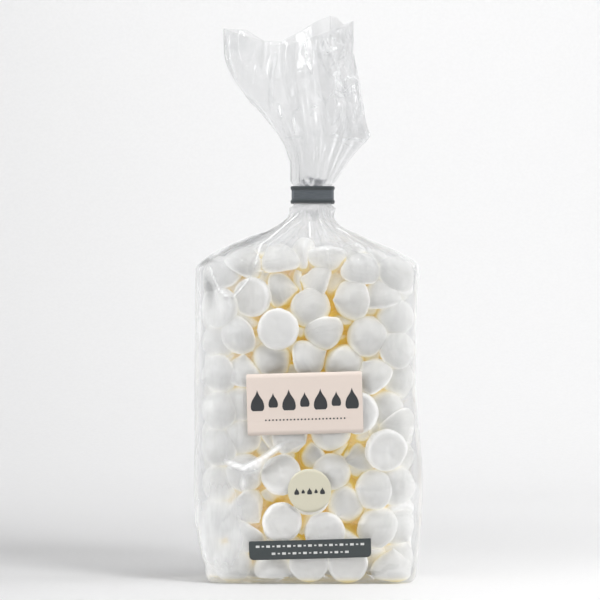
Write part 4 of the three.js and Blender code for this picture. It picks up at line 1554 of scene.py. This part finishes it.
    def crumpled(self, grid: Array) -> Array:
        """Upright crumples of the body's film."""
        wide = ridges(grid * [1, 1, 0.3], 0.16, self.seed) ** 2
        narrow = ridges(grid * [1, 1, 0.4], 0.37, self.seed + 1) ** 3
        return (wide * 1.5 + narrow * 0.5 - 0.9) * 0.75

    def fine(self, grid: Array) -> Array:
        """The film's finest unevenness."""
        return 0.16 * lumps(grid * [1, 1, 0.5], 0.5, self.seed + 2)

    def drawn(self, up: Array) -> Array:
        """Crumples of the roof, drawn out towards the neck."""
        share = np.broadcast_to(self.shares()[None], up.shape)
        spread = np.stack([400 * share, 16 * up, 9 * np.sin(3 * up)], -1)
        wide, narrow = ridges(spread, 0.17, self.seed + 8) ** 2, ridges(spread, 0.4, self.seed + 9) ** 3
        return wide * 1.5 + narrow * 0.5 - 0.8

    def sink(self, grid: Array, out: Array, kisses: Sequence[Object]) -> Array:
        """How far the film sags in between the kisses under it."""
        points, faces, start = [], [], 0
        for obj in kisses:
            points.append(points_of(obj))
            faces += [tuple(v + start for v in face.vertices) for face in obj.data.polygons]
            start += len(points[-1])
        tree = BVHTree.FromPolygons(np.vstack(points).tolist(), faces)
        room = np.full(grid.shape[:2], self.furthest)
        for place in np.ndindex(room.shape):
            hit = tree.ray_cast(Vector(grid[place]), Vector(-out[place]), self.furthest)
            if hit[0] is not None:
                room[place] = hit[3]
        slack = blurred(np.minimum(room, 6.0), 5)
        return np.clip(np.minimum(self.sag[0] * slack, room - 0.4), 0.0, self.sag[1])

    def haze(self, grid: Array, up: Array) -> Array:
        """How milky the film looks, which is partly its own milkiness and partly painted light: most at the
        gussets and over the roof, more on the left than the right.
        """
        x, z = grid[..., 0], grid[..., 2]
        sides = setting_in(x, self.haze_right) + setting_in(-x, self.haze_left)
        sides = sides * (1 - 0.45 * smoothstep(np.abs(x), 60.5, 62.5))
        roof = setting_in(z, self.haze_roof) * (1 - 0.5 * smoothstep(up, 0.4, 1))
        patches = smoothstep(lumps(grid, 0.09, self.seed + 5), -0.2, 1.2)
        base = self.haze_base[2] - setting_in(z, self.haze_base)
        return np.maximum.reduce([sides, roof, base]) * (0.6 + 0.4 * patches) + self.haze_all

    def close(self, grid: Array, **looks: Array) -> Object:
        """Turns the rows into a mesh with its folded base, and gives it its looks and its thickness."""
        rows, columns = grid.shape[:2]
        ends = grid[0, :, 0]
        middle = np.array([(ends.min() + ends.max()) / 2, 0, self.base_height])
        shares = np.linspace(0.12, 0.92, self.base_rings)
        base = [mixed(middle, grid[0], s) * [1, 1, 0] + [0, 0, self.base_height] for s in shares]
        points = np.vstack([*base, grid.reshape(-1, 3), middle])
        faces = grid_faces(self.base_rings + rows, columns, hoop=True)
        faces += cap_faces(len(points) - 1, 0, columns, up=False)
        film = make_mesh("film_body", points, faces)
        low = self.base_rings * columns
        for name, values in looks.items():
            under = self.under_base.get(name, 0.0)
            paint(film, **{name: np.r_[np.full(low, under), values.ravel(), under]})
        return thicken(film, self.thickness)


@dataclass
class FilmTail:
    """The gathered film over the clip, flared out to its open mouth."""

    columns: int = 288
    rows: int = 92
    neck_rows: Triple = (213.0, 217.0, 219.9)
    gathered: float = 222.5
    mouth: tuple[tuple[float, ...], ...] = (
        # share of the way round from the front left corner, then x, y, z
        (0.02, -24, -12.5, 300), (0.07, -14.6, -17, 299), (0.12, -7, -12, 303.5), (0.17, 3.4, -18, 309),
        (0.21, 5.5, -12.5, 311), (0.25, 13, -16, 313.5), (0.29, 16.5, -8.5, 313.7), (0.33, 20.5, -8.5, 309.5),
        (0.405, 26.3, -1, 312.7), (0.47, 22, 9, 311), (0.53, 13, 15, 309), (0.58, 6, 11.5, 306),
        (0.64, -2, 18, 304), (0.7, -12, 12.5, 301), (0.75, -20, 16, 301), (0.8, -29, 9, 304),
        (0.86, -39, 8, 306.5), (0.905, -47.3, 0, 308.5), (0.96, -34, -9, 306.5),
    )
    spread: Pair = (0.08, 0.86)
    knee: float = 18.0  # how far the right side bulges out
    knee_at: float = 0.28
    knee_end: float = 0.8
    pleat_depth: float = 1.1
    beside: Triple = (0.9, 0.0, 0.4)  # where the painted shade beside a crease lies
    # how dark that painted shade is
    beside_dark: float = 0.35
    loose_starts: Pair = (0.04, 0.3)  # shares of its height over which the film comes loose
    relief_share: float = 0.8
    doubled_dark: float = 0.12
    neck_inset: float = 0.5
    thickness: float = 0.16
    seed: int = 41

    def mouth_at(self, share: Array) -> Array:
        """The mouth's edge at shares of the way round, straight from fold to fold."""
        table = np.array(self.mouth)
        table = np.vstack([table[-1] - [1, 0, 0, 0], table, table[0] + [1, 0, 0, 0]])
        return np.stack([np.interp(share, table[:, 0], table[:, k]) for k in (1, 2, 3)], -1)

    def rings(self, pleat: Callable[[Array], Array]) -> tuple[Array, Array]:
        """The tail's smooth form as rows of points, and each row's share of the way up its loose part."""
        share = np.linspace(0, 1, self.columns, endpoint=False)
        px, py = FORM.on_plan(share, 2)
        end = self.mouth_at(share)
        half = (FORM.neck_flare[0] - self.neck_inset, FORM.neck_flare[1])
        begin = np.stack([FORM.neck_x + px * half[0], py * half[1], np.full_like(px, self.gathered)], -1)
        waist = FORM.neck_waist
        waist = np.stack([FORM.neck_x + px * waist[0], py * waist[1], np.zeros_like(px)], -1)
        rows = []
        for z in self.neck_rows:
            ring = waist + [0, 0, z]
            ring[:, 0] += px * 0.3 * pleat(share)
            rows.append(ring)
        ups = np.linspace(0, 1, self.rows)
        for up in ups:
            spread = smoothstep(up, *self.spread)
            past = (up - self.knee_at) / (self.knee_end - self.knee_at)
            knee = up / self.knee_at if up < self.knee_at else max(0.0, 1 - past)
            fold = self.pleat_depth * pleat(share) * (1 - 0.7 * up)
            bulge = self.knee * knee * np.maximum(0, px) ** 1.5
            x = mixed(begin[:, 0], end[:, 0], spread) + bulge + px * fold
            y = mixed(begin[:, 1], end[:, 1], spread) + py * fold * 0.6
            rows.append(np.stack([x, y, mixed(begin[:, 2], end[:, 2], up)], -1))
        return np.array(rows), np.r_[np.zeros(len(self.neck_rows)), ups][:, None]

    def build(self, pleat: Callable[[Array], Array]) -> Object:
        """Makes the tail.

        Args:
            pleat: the pleats of the film round the neck.

        Returns:
            The tail as a thin open shell.
        """
        grid, up = self.rings(pleat)
        out = round_grid(grid)
        loose = smoothstep(up, *self.loose_starts) * (1 - 0.75 * smoothstep(up, 0.93, 1.0))
        right = smoothstep(grid[..., 0] + 0.35 * (grid[..., 2] - 260), 0, 26)
        big = ridges(grid * [1, 1, 0.7], 0.13, self.seed)
        small = ridges(grid * [1, 1, 0.8], 0.36, self.seed + 1)
        fine = 0.12 * lumps(grid * [1, 1, 0.6], 0.7, self.seed + 2)
        # Painted highlights on the crests of the crumples to the right, painted shade where the film is bunched
        # over the clip, and a darker doubled corner.
        relief = Relief(
            1.2 * (big ** 2 - 0.4) + (0.25 + 0.45 * right) * (small ** 2 - 0.4) + fine,
            np.clip(big ** 6 * 0.9 + small ** 6 * 0.7 - 0.8, 0, 0.4) * right * loose,
            self.bunched(grid) + self.doubled_dark * self.doubled(grid),
        )
        front = smoothstep(-grid[..., 1], -1.0, 1.5)
        for crease in TAIL_CREASES:
            near = crease.nearness(grid) * front
            relief.rise += crease.rise * near
            relief.whiten(crease.white * smoothstep(near, 0, 0.7))
            relief.darken(self.beside_dark * crease.nearness(grid + self.beside) * front)
        grid = grid + out * (relief.rise * loose * self.relief_share)[..., None]
        haze = 0.06 + 0.06 * smoothstep(lumps(grid, 0.08, self.seed + 3), 0.0, 1.4)
        film = make_mesh("film_tail", grid.reshape(-1, 3), grid_faces(len(grid), self.columns, hoop=True))
        paint(film, haze=haze, crease=relief.white, dim=relief.dim, rough=(0.12 + 0.5 * right) * loose)
        return thicken(film, self.thickness)

    def bunched(self, grid: Array) -> Array:
        """How dark the film is painted where it is bunched just over the clip, most in the middle: painted
        shade in the crumples.
        """
        off_middle = np.abs(grid[..., 0] - FORM.neck_x)
        low = (1 - smoothstep(grid[..., 2], 221, 226)) * (1 - smoothstep(off_middle, 4, 9))
        return 2.6 * low * smoothstep(lumps(grid, 1.6, self.seed + 6), -0.4, 0.8)

    @staticmethod
    def doubled(grid: Array) -> Array:
        """1 on the upper left corner, where the film lies double."""
        x, z = grid[..., 0], grid[..., 2]
        return (1 - smoothstep(x, -34.4, -33.2)) * smoothstep(z + 0.15 * x, 289.0, 291.0)


# ---- Stickers ----


@dataclass(frozen=True)
class Sticker:
    """A paper sticker on the front of the bag."""

    name: str
    x: float
    z: float
    tilt: float
    width: float
    height: float
    corner: float
    top_corner: float
    thickness: float = 0.14
    gap: float = 0.14
    bow: float = 0.985  # how closely the columns gather towards its ends, up to 1
    smooth_round: float = 7.0
    columns: int = 72
    rows: int = 14

    def half_height(self, across: Array, corner: float) -> Array:
        """How far the sticker's edge lies from its middle line, with rounded corners."""
        into = np.maximum(0, np.abs(across) - (self.width / 2 - corner))
        return self.height / 2 - corner + np.sqrt(np.maximum(0.0, corner ** 2 - into ** 2))

    def covers(self, points: Array) -> Array:
        """1 under the sticker, falling to 0 clear of it."""
        a = math.radians(self.tilt)
        dx, dz = points[..., 0] - self.x, points[..., 2] - self.z
        across, up = dx * math.cos(a) + dz * math.sin(a), dz * math.cos(a) - dx * math.sin(a)
        past = np.maximum(np.abs(across) - self.width / 2, np.abs(up) - self.height / 2)
        return 1 - smoothstep(past, 0.5, self.smooth_round)

    def onto_bag(self, across: Array, up: Array, out: float) -> Array:
        """Places of points on the bag's front, ``out`` from the film."""
        a = math.radians(self.tilt)
        x = self.x + across * math.cos(a) - up * math.sin(a)
        z = self.z + across * math.sin(a) + up * math.cos(a)
        return np.stack([x, -FORM.half_depth(x, z) - out, z], -1)

    def build(self) -> Object:
        """Makes the sticker's sheet, bent to the bag."""
        end = 0.5 * np.pi * self.bow
        across = 0.5 * self.width * np.sin(end * np.linspace(-1, 1, self.columns)) / math.sin(end)
        low = -np.maximum(self.half_height(across, self.corner), 0.02 * self.height)
        high = np.maximum(self.half_height(across, self.top_corner), 0.02 * self.height)
        up = mixed(low[None], high[None], np.linspace(0, 1, self.rows)[:, None])
        grid = self.onto_bag(np.broadcast_to(across, up.shape), up, self.gap + self.thickness)
        faces = grid_faces(self.rows, self.columns, hoop=False)
        return thicken(make_mesh(self.name + "_sticker", grid.reshape(-1, 3), faces), self.thickness)


class Mark(Enum):
    """The plain shapes printed on the stickers."""

    DROP = "drop"
    DOT = "dot"
    BAR = "bar"


HALF_DROP = (
    (0.36, -0.5), (0.47, -0.42), (0.5, -0.3), (0.47, -0.14), (0.38, 0.02), (0.25, 0.15), (0.13, 0.27),
    (0.06, 0.38), (0.0, 0.5),
)
OUTLINES = {  # one unit wide and high, anticlockwise
    Mark.BAR: ((-0.5, -0.5), (0.5, -0.5), (0.5, 0.5), (-0.5, 0.5)),
    Mark.DOT: tuple(
        (0.5 * math.cos(t), 0.5 * math.sin(t)) for t in np.linspace(0, 2 * np.pi, 20, endpoint=False)),
    Mark.DROP: HALF_DROP + tuple((-x, z) for x, z in reversed(HALF_DROP[:-1])),
}


@dataclass(frozen=True)
class PrintRow:
    """A row of one plain shape on a sticker, measured from the sticker's middle."""

    mark: Mark
    count: int
    pitch: float
    size: Pair
    middle: Pair
    ink: float = 0.05
    alternate: float = 1.0  # size of every second one

    def pattern(self) -> Object:
        """Makes one shape in the plane of x and z, a metre wide and high."""
        outline = OUTLINES[self.mark]
        points = [(x, 0.0, z) for x, z in outline] + [(0.0, 0.0, 0.0)]
        n = len(outline)
        name = f"{self.mark.value}_pattern"
        return make_mesh(name, np.array(points) / MM, cap_faces(n, 0, n, up=True), smooth=False)

    @staticmethod
    def tree() -> NodeTree:
        """Builds the node tree that sets one shape in a row, every second one at another size."""
        size = ("Float", 0.01)
        graph = GeometryTree(
            "marks in a row", "Shape", Count=("Int", 5), Pitch=size, Width=size, Height=size,
            Second_Size=("Float", 1.0))
        given = graph.given
        start = graph.maths("SUBTRACT", given["Count"], 1.0) * given["Pitch"] * -0.5
        line = graph.out("GeometryNodeMeshLine", {
            "Count": given["Count"],
            "Start Location": graph.out("ShaderNodeCombineXYZ", {0: start}),
            "Offset": graph.out("ShaderNodeCombineXYZ", {0: given["Pitch"]}),
        })
        odd = graph.maths("MODULO", graph.out("GeometryNodeInputIndex"), 2.0)
        size = odd * graph.maths("SUBTRACT", given["Second Size"], 1.0) + 1.0
        wide, high = size * given["Width"], size * given["Height"]
        scale = graph.out("ShaderNodeCombineXYZ", {0: wide, 1: 1.0, 2: high})
        return graph.set_on(line, Scale=scale)

    def build(self, sticker: Sticker, tree: NodeTree, finish: Material,
              name: str) -> Object:
        """Makes the row, printed on a sticker.

        Args:
            sticker: the sticker.
            tree: the node tree of rows.
            finish: the ink.
            name: the piece's name.

        Returns:
            The printed row.
        """
        pattern = self.pattern()
        piece = grown(make_mesh(name + "_row", np.zeros((1, 3)), []), tree, name, {
            "Shape": pattern, "Count": self.count, "Pitch": self.pitch * MM, "Width": self.size[0] * MM,
            "Height": self.size[1] * MM, "Second Size": self.alternate, "Finish": finish,
        })
        bpy.data.objects.remove(pattern)
        across, _, up = points_of(piece).T
        out = sticker.gap + sticker.thickness + self.ink
        move_points(piece, sticker.onto_bag(across + self.middle[0], up + self.middle[1], out))
        return piece


FRONT_STICKER = Sticker("front", -1.3, 98.5, 1.6, 63.1, 33.5, 1.0, 1.0)
ROUND_STICKER = Sticker("round", 1.3, 51.1, 1.6, 23.7, 23.7, 11.85, 11.85)
BASE_STICKER = Sticker("base", 1.6, 19.2, 1.5, 66.4, 10.3, 2.4, 0.5)
STICKERS = (FRONT_STICKER, ROUND_STICKER, BASE_STICKER)


# ---- Clip ----


@dataclass
class ClipBand:
    """A coated strip with a wire along both edges, folded round the neck and lapped at the back."""

    low: float = 210.0
    high: float = 219.5
    half: Pair = (11.5, 4.2)
    strip: float = 0.7
    rib: float = 0.55
    bend: float = 1.5
    overlap: float = 6.0
    lap_gap: float = 0.35
    bend_steps: int = 12
    straight_steps: int = 24
    rib_steps: int = 12
    web_steps: int = 6
    back_steps: int = 10

    def arc(self, cx: float, cy: float, start: float) -> Array:
        """Points of a quarter bend about a place, from an angle in degrees."""
        a = np.radians(np.linspace(start, start + 90, self.bend_steps))
        return np.stack([cx + self.bend * np.cos(a), cy + self.bend * np.sin(a)], -1)

    def path(self) -> Array:
        """The strip's middle line from above: one end, left bend, front, right bend, the lapped end."""
        width, depth = self.half
        far = depth + self.strip + 2 * self.rib + self.lap_gap
        left, right = -width + self.bend, width - self.bend
        count = self.straight_steps
        return np.vstack([
            np.linspace((self.overlap, depth), (left, depth), count)[:-1],
            self.arc(left, depth - self.bend, 90),
            self.arc(left, -depth + self.bend, 180),
            np.linspace((left, -depth), (right, -depth), count)[1:-1],
            self.arc(right, -depth + self.bend, -90),
            self.arc(right, far - self.bend, 0),
            np.linspace((right, far), (-self.overlap, far), count)[1:],
        ])

    def section(self) -> Array:
        """The strip's section as outward and up from its middle, with a rounded rib along each edge."""
        half = (self.high - self.low) / 2
        skin = self.strip / 2
        rib = self.rib + skin
        a = np.linspace(0, np.pi, self.rib_steps)
        out, up = skin + self.rib * np.sin(a), rib * np.cos(a)
        low, high = (np.stack([out, end * (half - rib) - up], -1) for end in (-1, 1))
        heights = np.linspace(-half + 2 * rib, half - 2 * rib, self.web_steps + 2)[1:-1]
        web = np.stack([np.full(self.web_steps, skin), heights], -1)
        heights = np.linspace(half - 0.15, -half + 0.15, self.back_steps)
        inside = np.stack([np.full(self.back_steps, -skin), heights], -1)
        return np.vstack([low, web, high, inside])

    def build(self) -> Object:
        """Makes the band."""
        path, section = self.path(), self.section()
        along = unit(np.gradient(path, axis=0))
        out = np.stack([along[:, 1], -along[:, 0]], -1)
        flat = path[:, None] + out[:, None] * section[None, :, :1] + [FORM.neck_x, 0]
        up = (self.low + self.high) / 2 + section[None, :, 1:]
        grid = np.concatenate([flat, np.broadcast_to(up, flat[..., :1].shape)], -1)
        rows, columns = grid.shape[:2]
        points = np.vstack([grid.reshape(-1, 3), grid[0].mean(0), grid[-1].mean(0)])
        faces = grid_faces(rows, columns, hoop=True)
        faces += cap_faces(len(points) - 2, 0, columns, up=False)
        faces += cap_faces(len(points) - 1, (rows - 1) * columns, columns, up=True)
        band = make_mesh("clip_strip", points, faces)
        mesh = bmesh.new()
        mesh.from_mesh(band.data)
        bmesh.ops.recalc_face_normals(mesh, faces=mesh.faces)
        mesh.to_mesh(band.data)
        mesh.free()
        second = self.rib_steps + self.web_steps
        ribs = np.zeros((rows, columns))
        ribs[:, : self.rib_steps] = 1
        ribs[:, second: second + self.rib_steps] = 1
        paint(band, rib=np.r_[ribs.ravel(), 0, 0])
        return band


# ---- Studio ----


@dataclass(frozen=True)
class Lamp:
    """A soft rectangular light, in millimetres and watts."""

    name: str
    place: Triple
    aim: Triple
    size: Pair  # width and height
    power: float
    sweep: str = ""  # EXCLUDE: it leaves the sweep dark; INCLUDE: it lights nothing else
    glint: bool = False  # whether it shows in the gloss alone; the others don't show there


LAMPS = (
    Lamp("left_softbox", (-1130, -230, 260), (0, 0, 110), (900, 430), 18.5, "EXCLUDE"),
    Lamp("right_softbox", (1150, -100, 240), (0, 0, 110), (900, 430), 13.0),
    Lamp("key_softbox", (700, -930, 680), (0, 0, 60), (500, 500), 2.2),
    Lamp("floor_softbox", (700, -930, 680), (0, 0, 60), (450, 450), 10.5, "INCLUDE"),
    Lamp("crown_softbox", (100, -560, 1350), (0, 0, 100), (500, 400), 11.5, "EXCLUDE"),
    Lamp("top_softbox", (0, -300, 1400), (0, 0, 100), (1300, 900), 8.2),
    Lamp("back_glow", (350, 700, 900), (500, 1600, 350), (2400, 800), 8.8),
    Lamp("left_glow", (-900, -760, 330), (0, 0, 110), (800, 1100), 1.8, glint=True),
    Lamp("left_glint", (-900, -500, 600), (0, 0, 200), (60, 900), 0.5, glint=True),
    Lamp("right_glint", (900, -600, 700), (0, 0, 200), (60, 900), 0.5, glint=True),
)


@dataclass
class Studio:
    """A pale sweep, soft light from both sides, from above and from behind, and the camera."""

    camera: Triple = (-3.9, -1450.0, 117.9)
    pitch: float = 1.5
    lens: float = 155.34
    floor_colour: Colour = (0.82, 0.82, 0.823)
    half_width: float = 2600.0  # this and the next four: the sweep
    front: float = -9000.0
    back: float = 900.0  # where it starts to rise
    bend: float = 700.0
    top: float = 3200.0

    def place_camera(self) -> None:
        """Sets the camera in front of the bag, a little under its middle and looking slightly up."""
        data = bpy.data.cameras.new("camera")
        data.lens = self.lens
        data.sensor_width = 36.0
        data.clip_end = 50.0
        camera = bpy.data.objects.new("camera", data)
        camera.location = Vector(self.camera) * MM
        camera.rotation_euler = (math.radians(90 + self.pitch), 0, 0)
        bpy.context.scene.collection.objects.link(camera)
        bpy.context.scene.camera = camera

    def make_sweep(self) -> Object:
        """Makes the floor and the wall behind it as one bent sheet."""
        bend = self.bend
        turns = np.linspace(0, math.pi / 2, 25)
        profile = [(self.front, 0.0)]
        profile += [(self.back + bend * math.sin(a), bend * (1 - math.cos(a))) for a in turns]
        profile.append((self.back + bend, self.top))
        points = [(x, y, z) for y, z in profile for x in (-self.half_width, self.half_width)]
        sweep = make_mesh("studio_sweep", np.array(points), grid_faces(len(profile), 2, hoop=False))
        paper = Paint("studio paper")
        graph = paper.graph
        grain = graph.ramp(graph.noise(paper.place, 300.0), 0.3, 0.7, 0.98, 1.0)
        away = graph.out("ShaderNodeSeparateXYZ", {0: paper.place}, "Y")
        light = grain * graph.ramp(away, -0.9, -0.25, 0.25, 1.0)
        look = {"Base Color": graph.blend(light, BLACK, opaque(self.floor_colour)), "Roughness": 0.6}
        sweep.data.materials.append(paper.covered_with("ShaderNodeBsdfPrincipled", look))
        return sweep

    @staticmethod
    def add_lamp(lamp: Lamp, sweep: Object) -> None:
        """Adds a light, and limits what it reaches if it says so."""
        data = bpy.data.lights.new(lamp.name, "AREA")
        data.shape = "RECTANGLE"
        data.size, data.size_y = lamp.size[0] * MM, lamp.size[1] * MM
        data.energy = lamp.power
        light = bpy.data.objects.new(lamp.name, data)
        light.visible_glossy, light.visible_diffuse = lamp.glint, not lamp.glint
        light.location = Vector(lamp.place) * MM
        light.rotation_euler = (Vector(lamp.aim) - Vector(lamp.place)).to_track_quat("-Z", "Y").to_euler()
        bpy.context.scene.collection.objects.link(light)
        if lamp.sweep:
            reach = bpy.data.collections.new(f"{lamp.name} reach")
            reach.objects.link(sweep)
            reach.collection_objects[0].light_linking.link_state = lamp.sweep
            light.light_linking.receiver_collection = reach

    def light(self, sweep: Object) -> None:
        """Adds the lights and the world, which is brighter behind the bag."""
        for lamp in LAMPS:
            self.add_lamp(lamp, sweep)
        world = bpy.data.worlds.new("studio world")
        world.use_nodes = True
        world.node_tree.nodes.clear()
        graph = Graph(world.node_tree)
        way = graph.out("ShaderNodeTexCoord", output="Generated")
        strength = graph.ramp(graph.out("ShaderNodeSeparateXYZ", {0: way}, "Y"), -0.8, 0.3, 0.05, 0.32)
        back = graph.out("ShaderNodeBackground", {"Color": WHITE, "Strength": strength})
        graph.node("ShaderNodeOutputWorld", {"Surface": back})
        bpy.context.scene.world = world

    @staticmethod
    def set_render() -> None:
        """Sets how light and colour are worked out."""
        scene = bpy.context.scene
        scene.view_settings.view_transform = "Standard"
        scene.view_settings.look = "None"
        scene.cycles.max_bounces = 12
        scene.cycles.diffuse_bounces = 6
        scene.cycles.glossy_bounces = 6
        scene.cycles.transparent_max_bounces = 48


PRINTS = {
    "front": (
        PrintRow(Mark.DROP, 7, 8.6, (7.4, 11.4), (0.0, 2.2), alternate=0.7),
        PrintRow(Mark.DOT, 23, 1.95, (0.95, 0.95), (0.0, -8.6)),
    ),
    "round": (PrintRow(Mark.DROP, 5, 3.5, (2.7, 3.7), (0.0, -0.2), alternate=0.68),),
    "base": (
        PrintRow(Mark.BAR, 21, 2.85, (2.0, 1.25), (0.0, 2.1), alternate=0.6),
        PrintRow(Mark.BAR, 15, 2.85, (2.0, 1.25), (0.0, -1.9), alternate=0.6),
    ),
}


def hand_in(piece: Object, node: str) -> None:
    """Joins a piece to the bag in a node's place, and hides that node of the imported model."""
    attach(piece, ROOT)
    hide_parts(node)
    LOG.info("%s: %d faces", piece.name, len(piece.data.polygons))


def main() -> None:
    """Builds the bag and its studio."""
    logging.basicConfig(level=logging.INFO, format="%(name)s: %(message)s")
    studio = Studio()
    studio.place_camera()
    studio.light(studio.make_sweep())
    studio.set_render()
    kisses = KissPile().build(MeringueFinish().make())
    for piece in kisses:
        hand_in(piece, "meringue_bag")
    film = FilmFinish().make()
    bag = FilmBag()
    body = bag.build(kisses, STICKERS)
    tail = FilmTail().build(bag.pleat)
    for piece in (body, tail):
        piece.data.materials.append(film)
        hand_in(piece, "meringue_bag")
    blush = PaperFinish("blush paper", (0.655, 0.57, 0.515))
    cream = PaperFinish("cream paper", (0.575, 0.55, 0.44))
    slate = PaperFinish("slate paper", (0.048, 0.057, 0.059))
    papers = {
        "front": (FRONT_STICKER, blush, "label_pink", "front_label"),
        "round": (ROUND_STICKER, cream, "label_cream", "round_label"),
        "base": (BASE_STICKER, slate, "label_dark", "base_label"),
    }
    inks = {
        "front": PaperFinish("charcoal ink", (0.04, 0.042, 0.045), 0.5).make(),
        "round": PaperFinish("charcoal ink small", (0.04, 0.042, 0.045), 0.5).make(),
        "base": PaperFinish("pale ink", (0.62, 0.62, 0.61), 0.5).make(),
    }
    row_tree = PrintRow.tree()
    for key, (sticker, paper, slot, node) in papers.items():
        sheet = sticker.build()
        sheet.data.materials.append(paper.make())
        hand_in(sheet, node)
        for number, row in enumerate(PRINTS[key], 1):
            hand_in(row.build(sticker, row_tree, inks[key], f"{key}_print_{number}"), node)
    clip = ClipBand().build()
    clip.data.materials.append(ClipFinish().make())
    hand_in(clip, "clip_band")


if __name__ == "__main__":
    main()
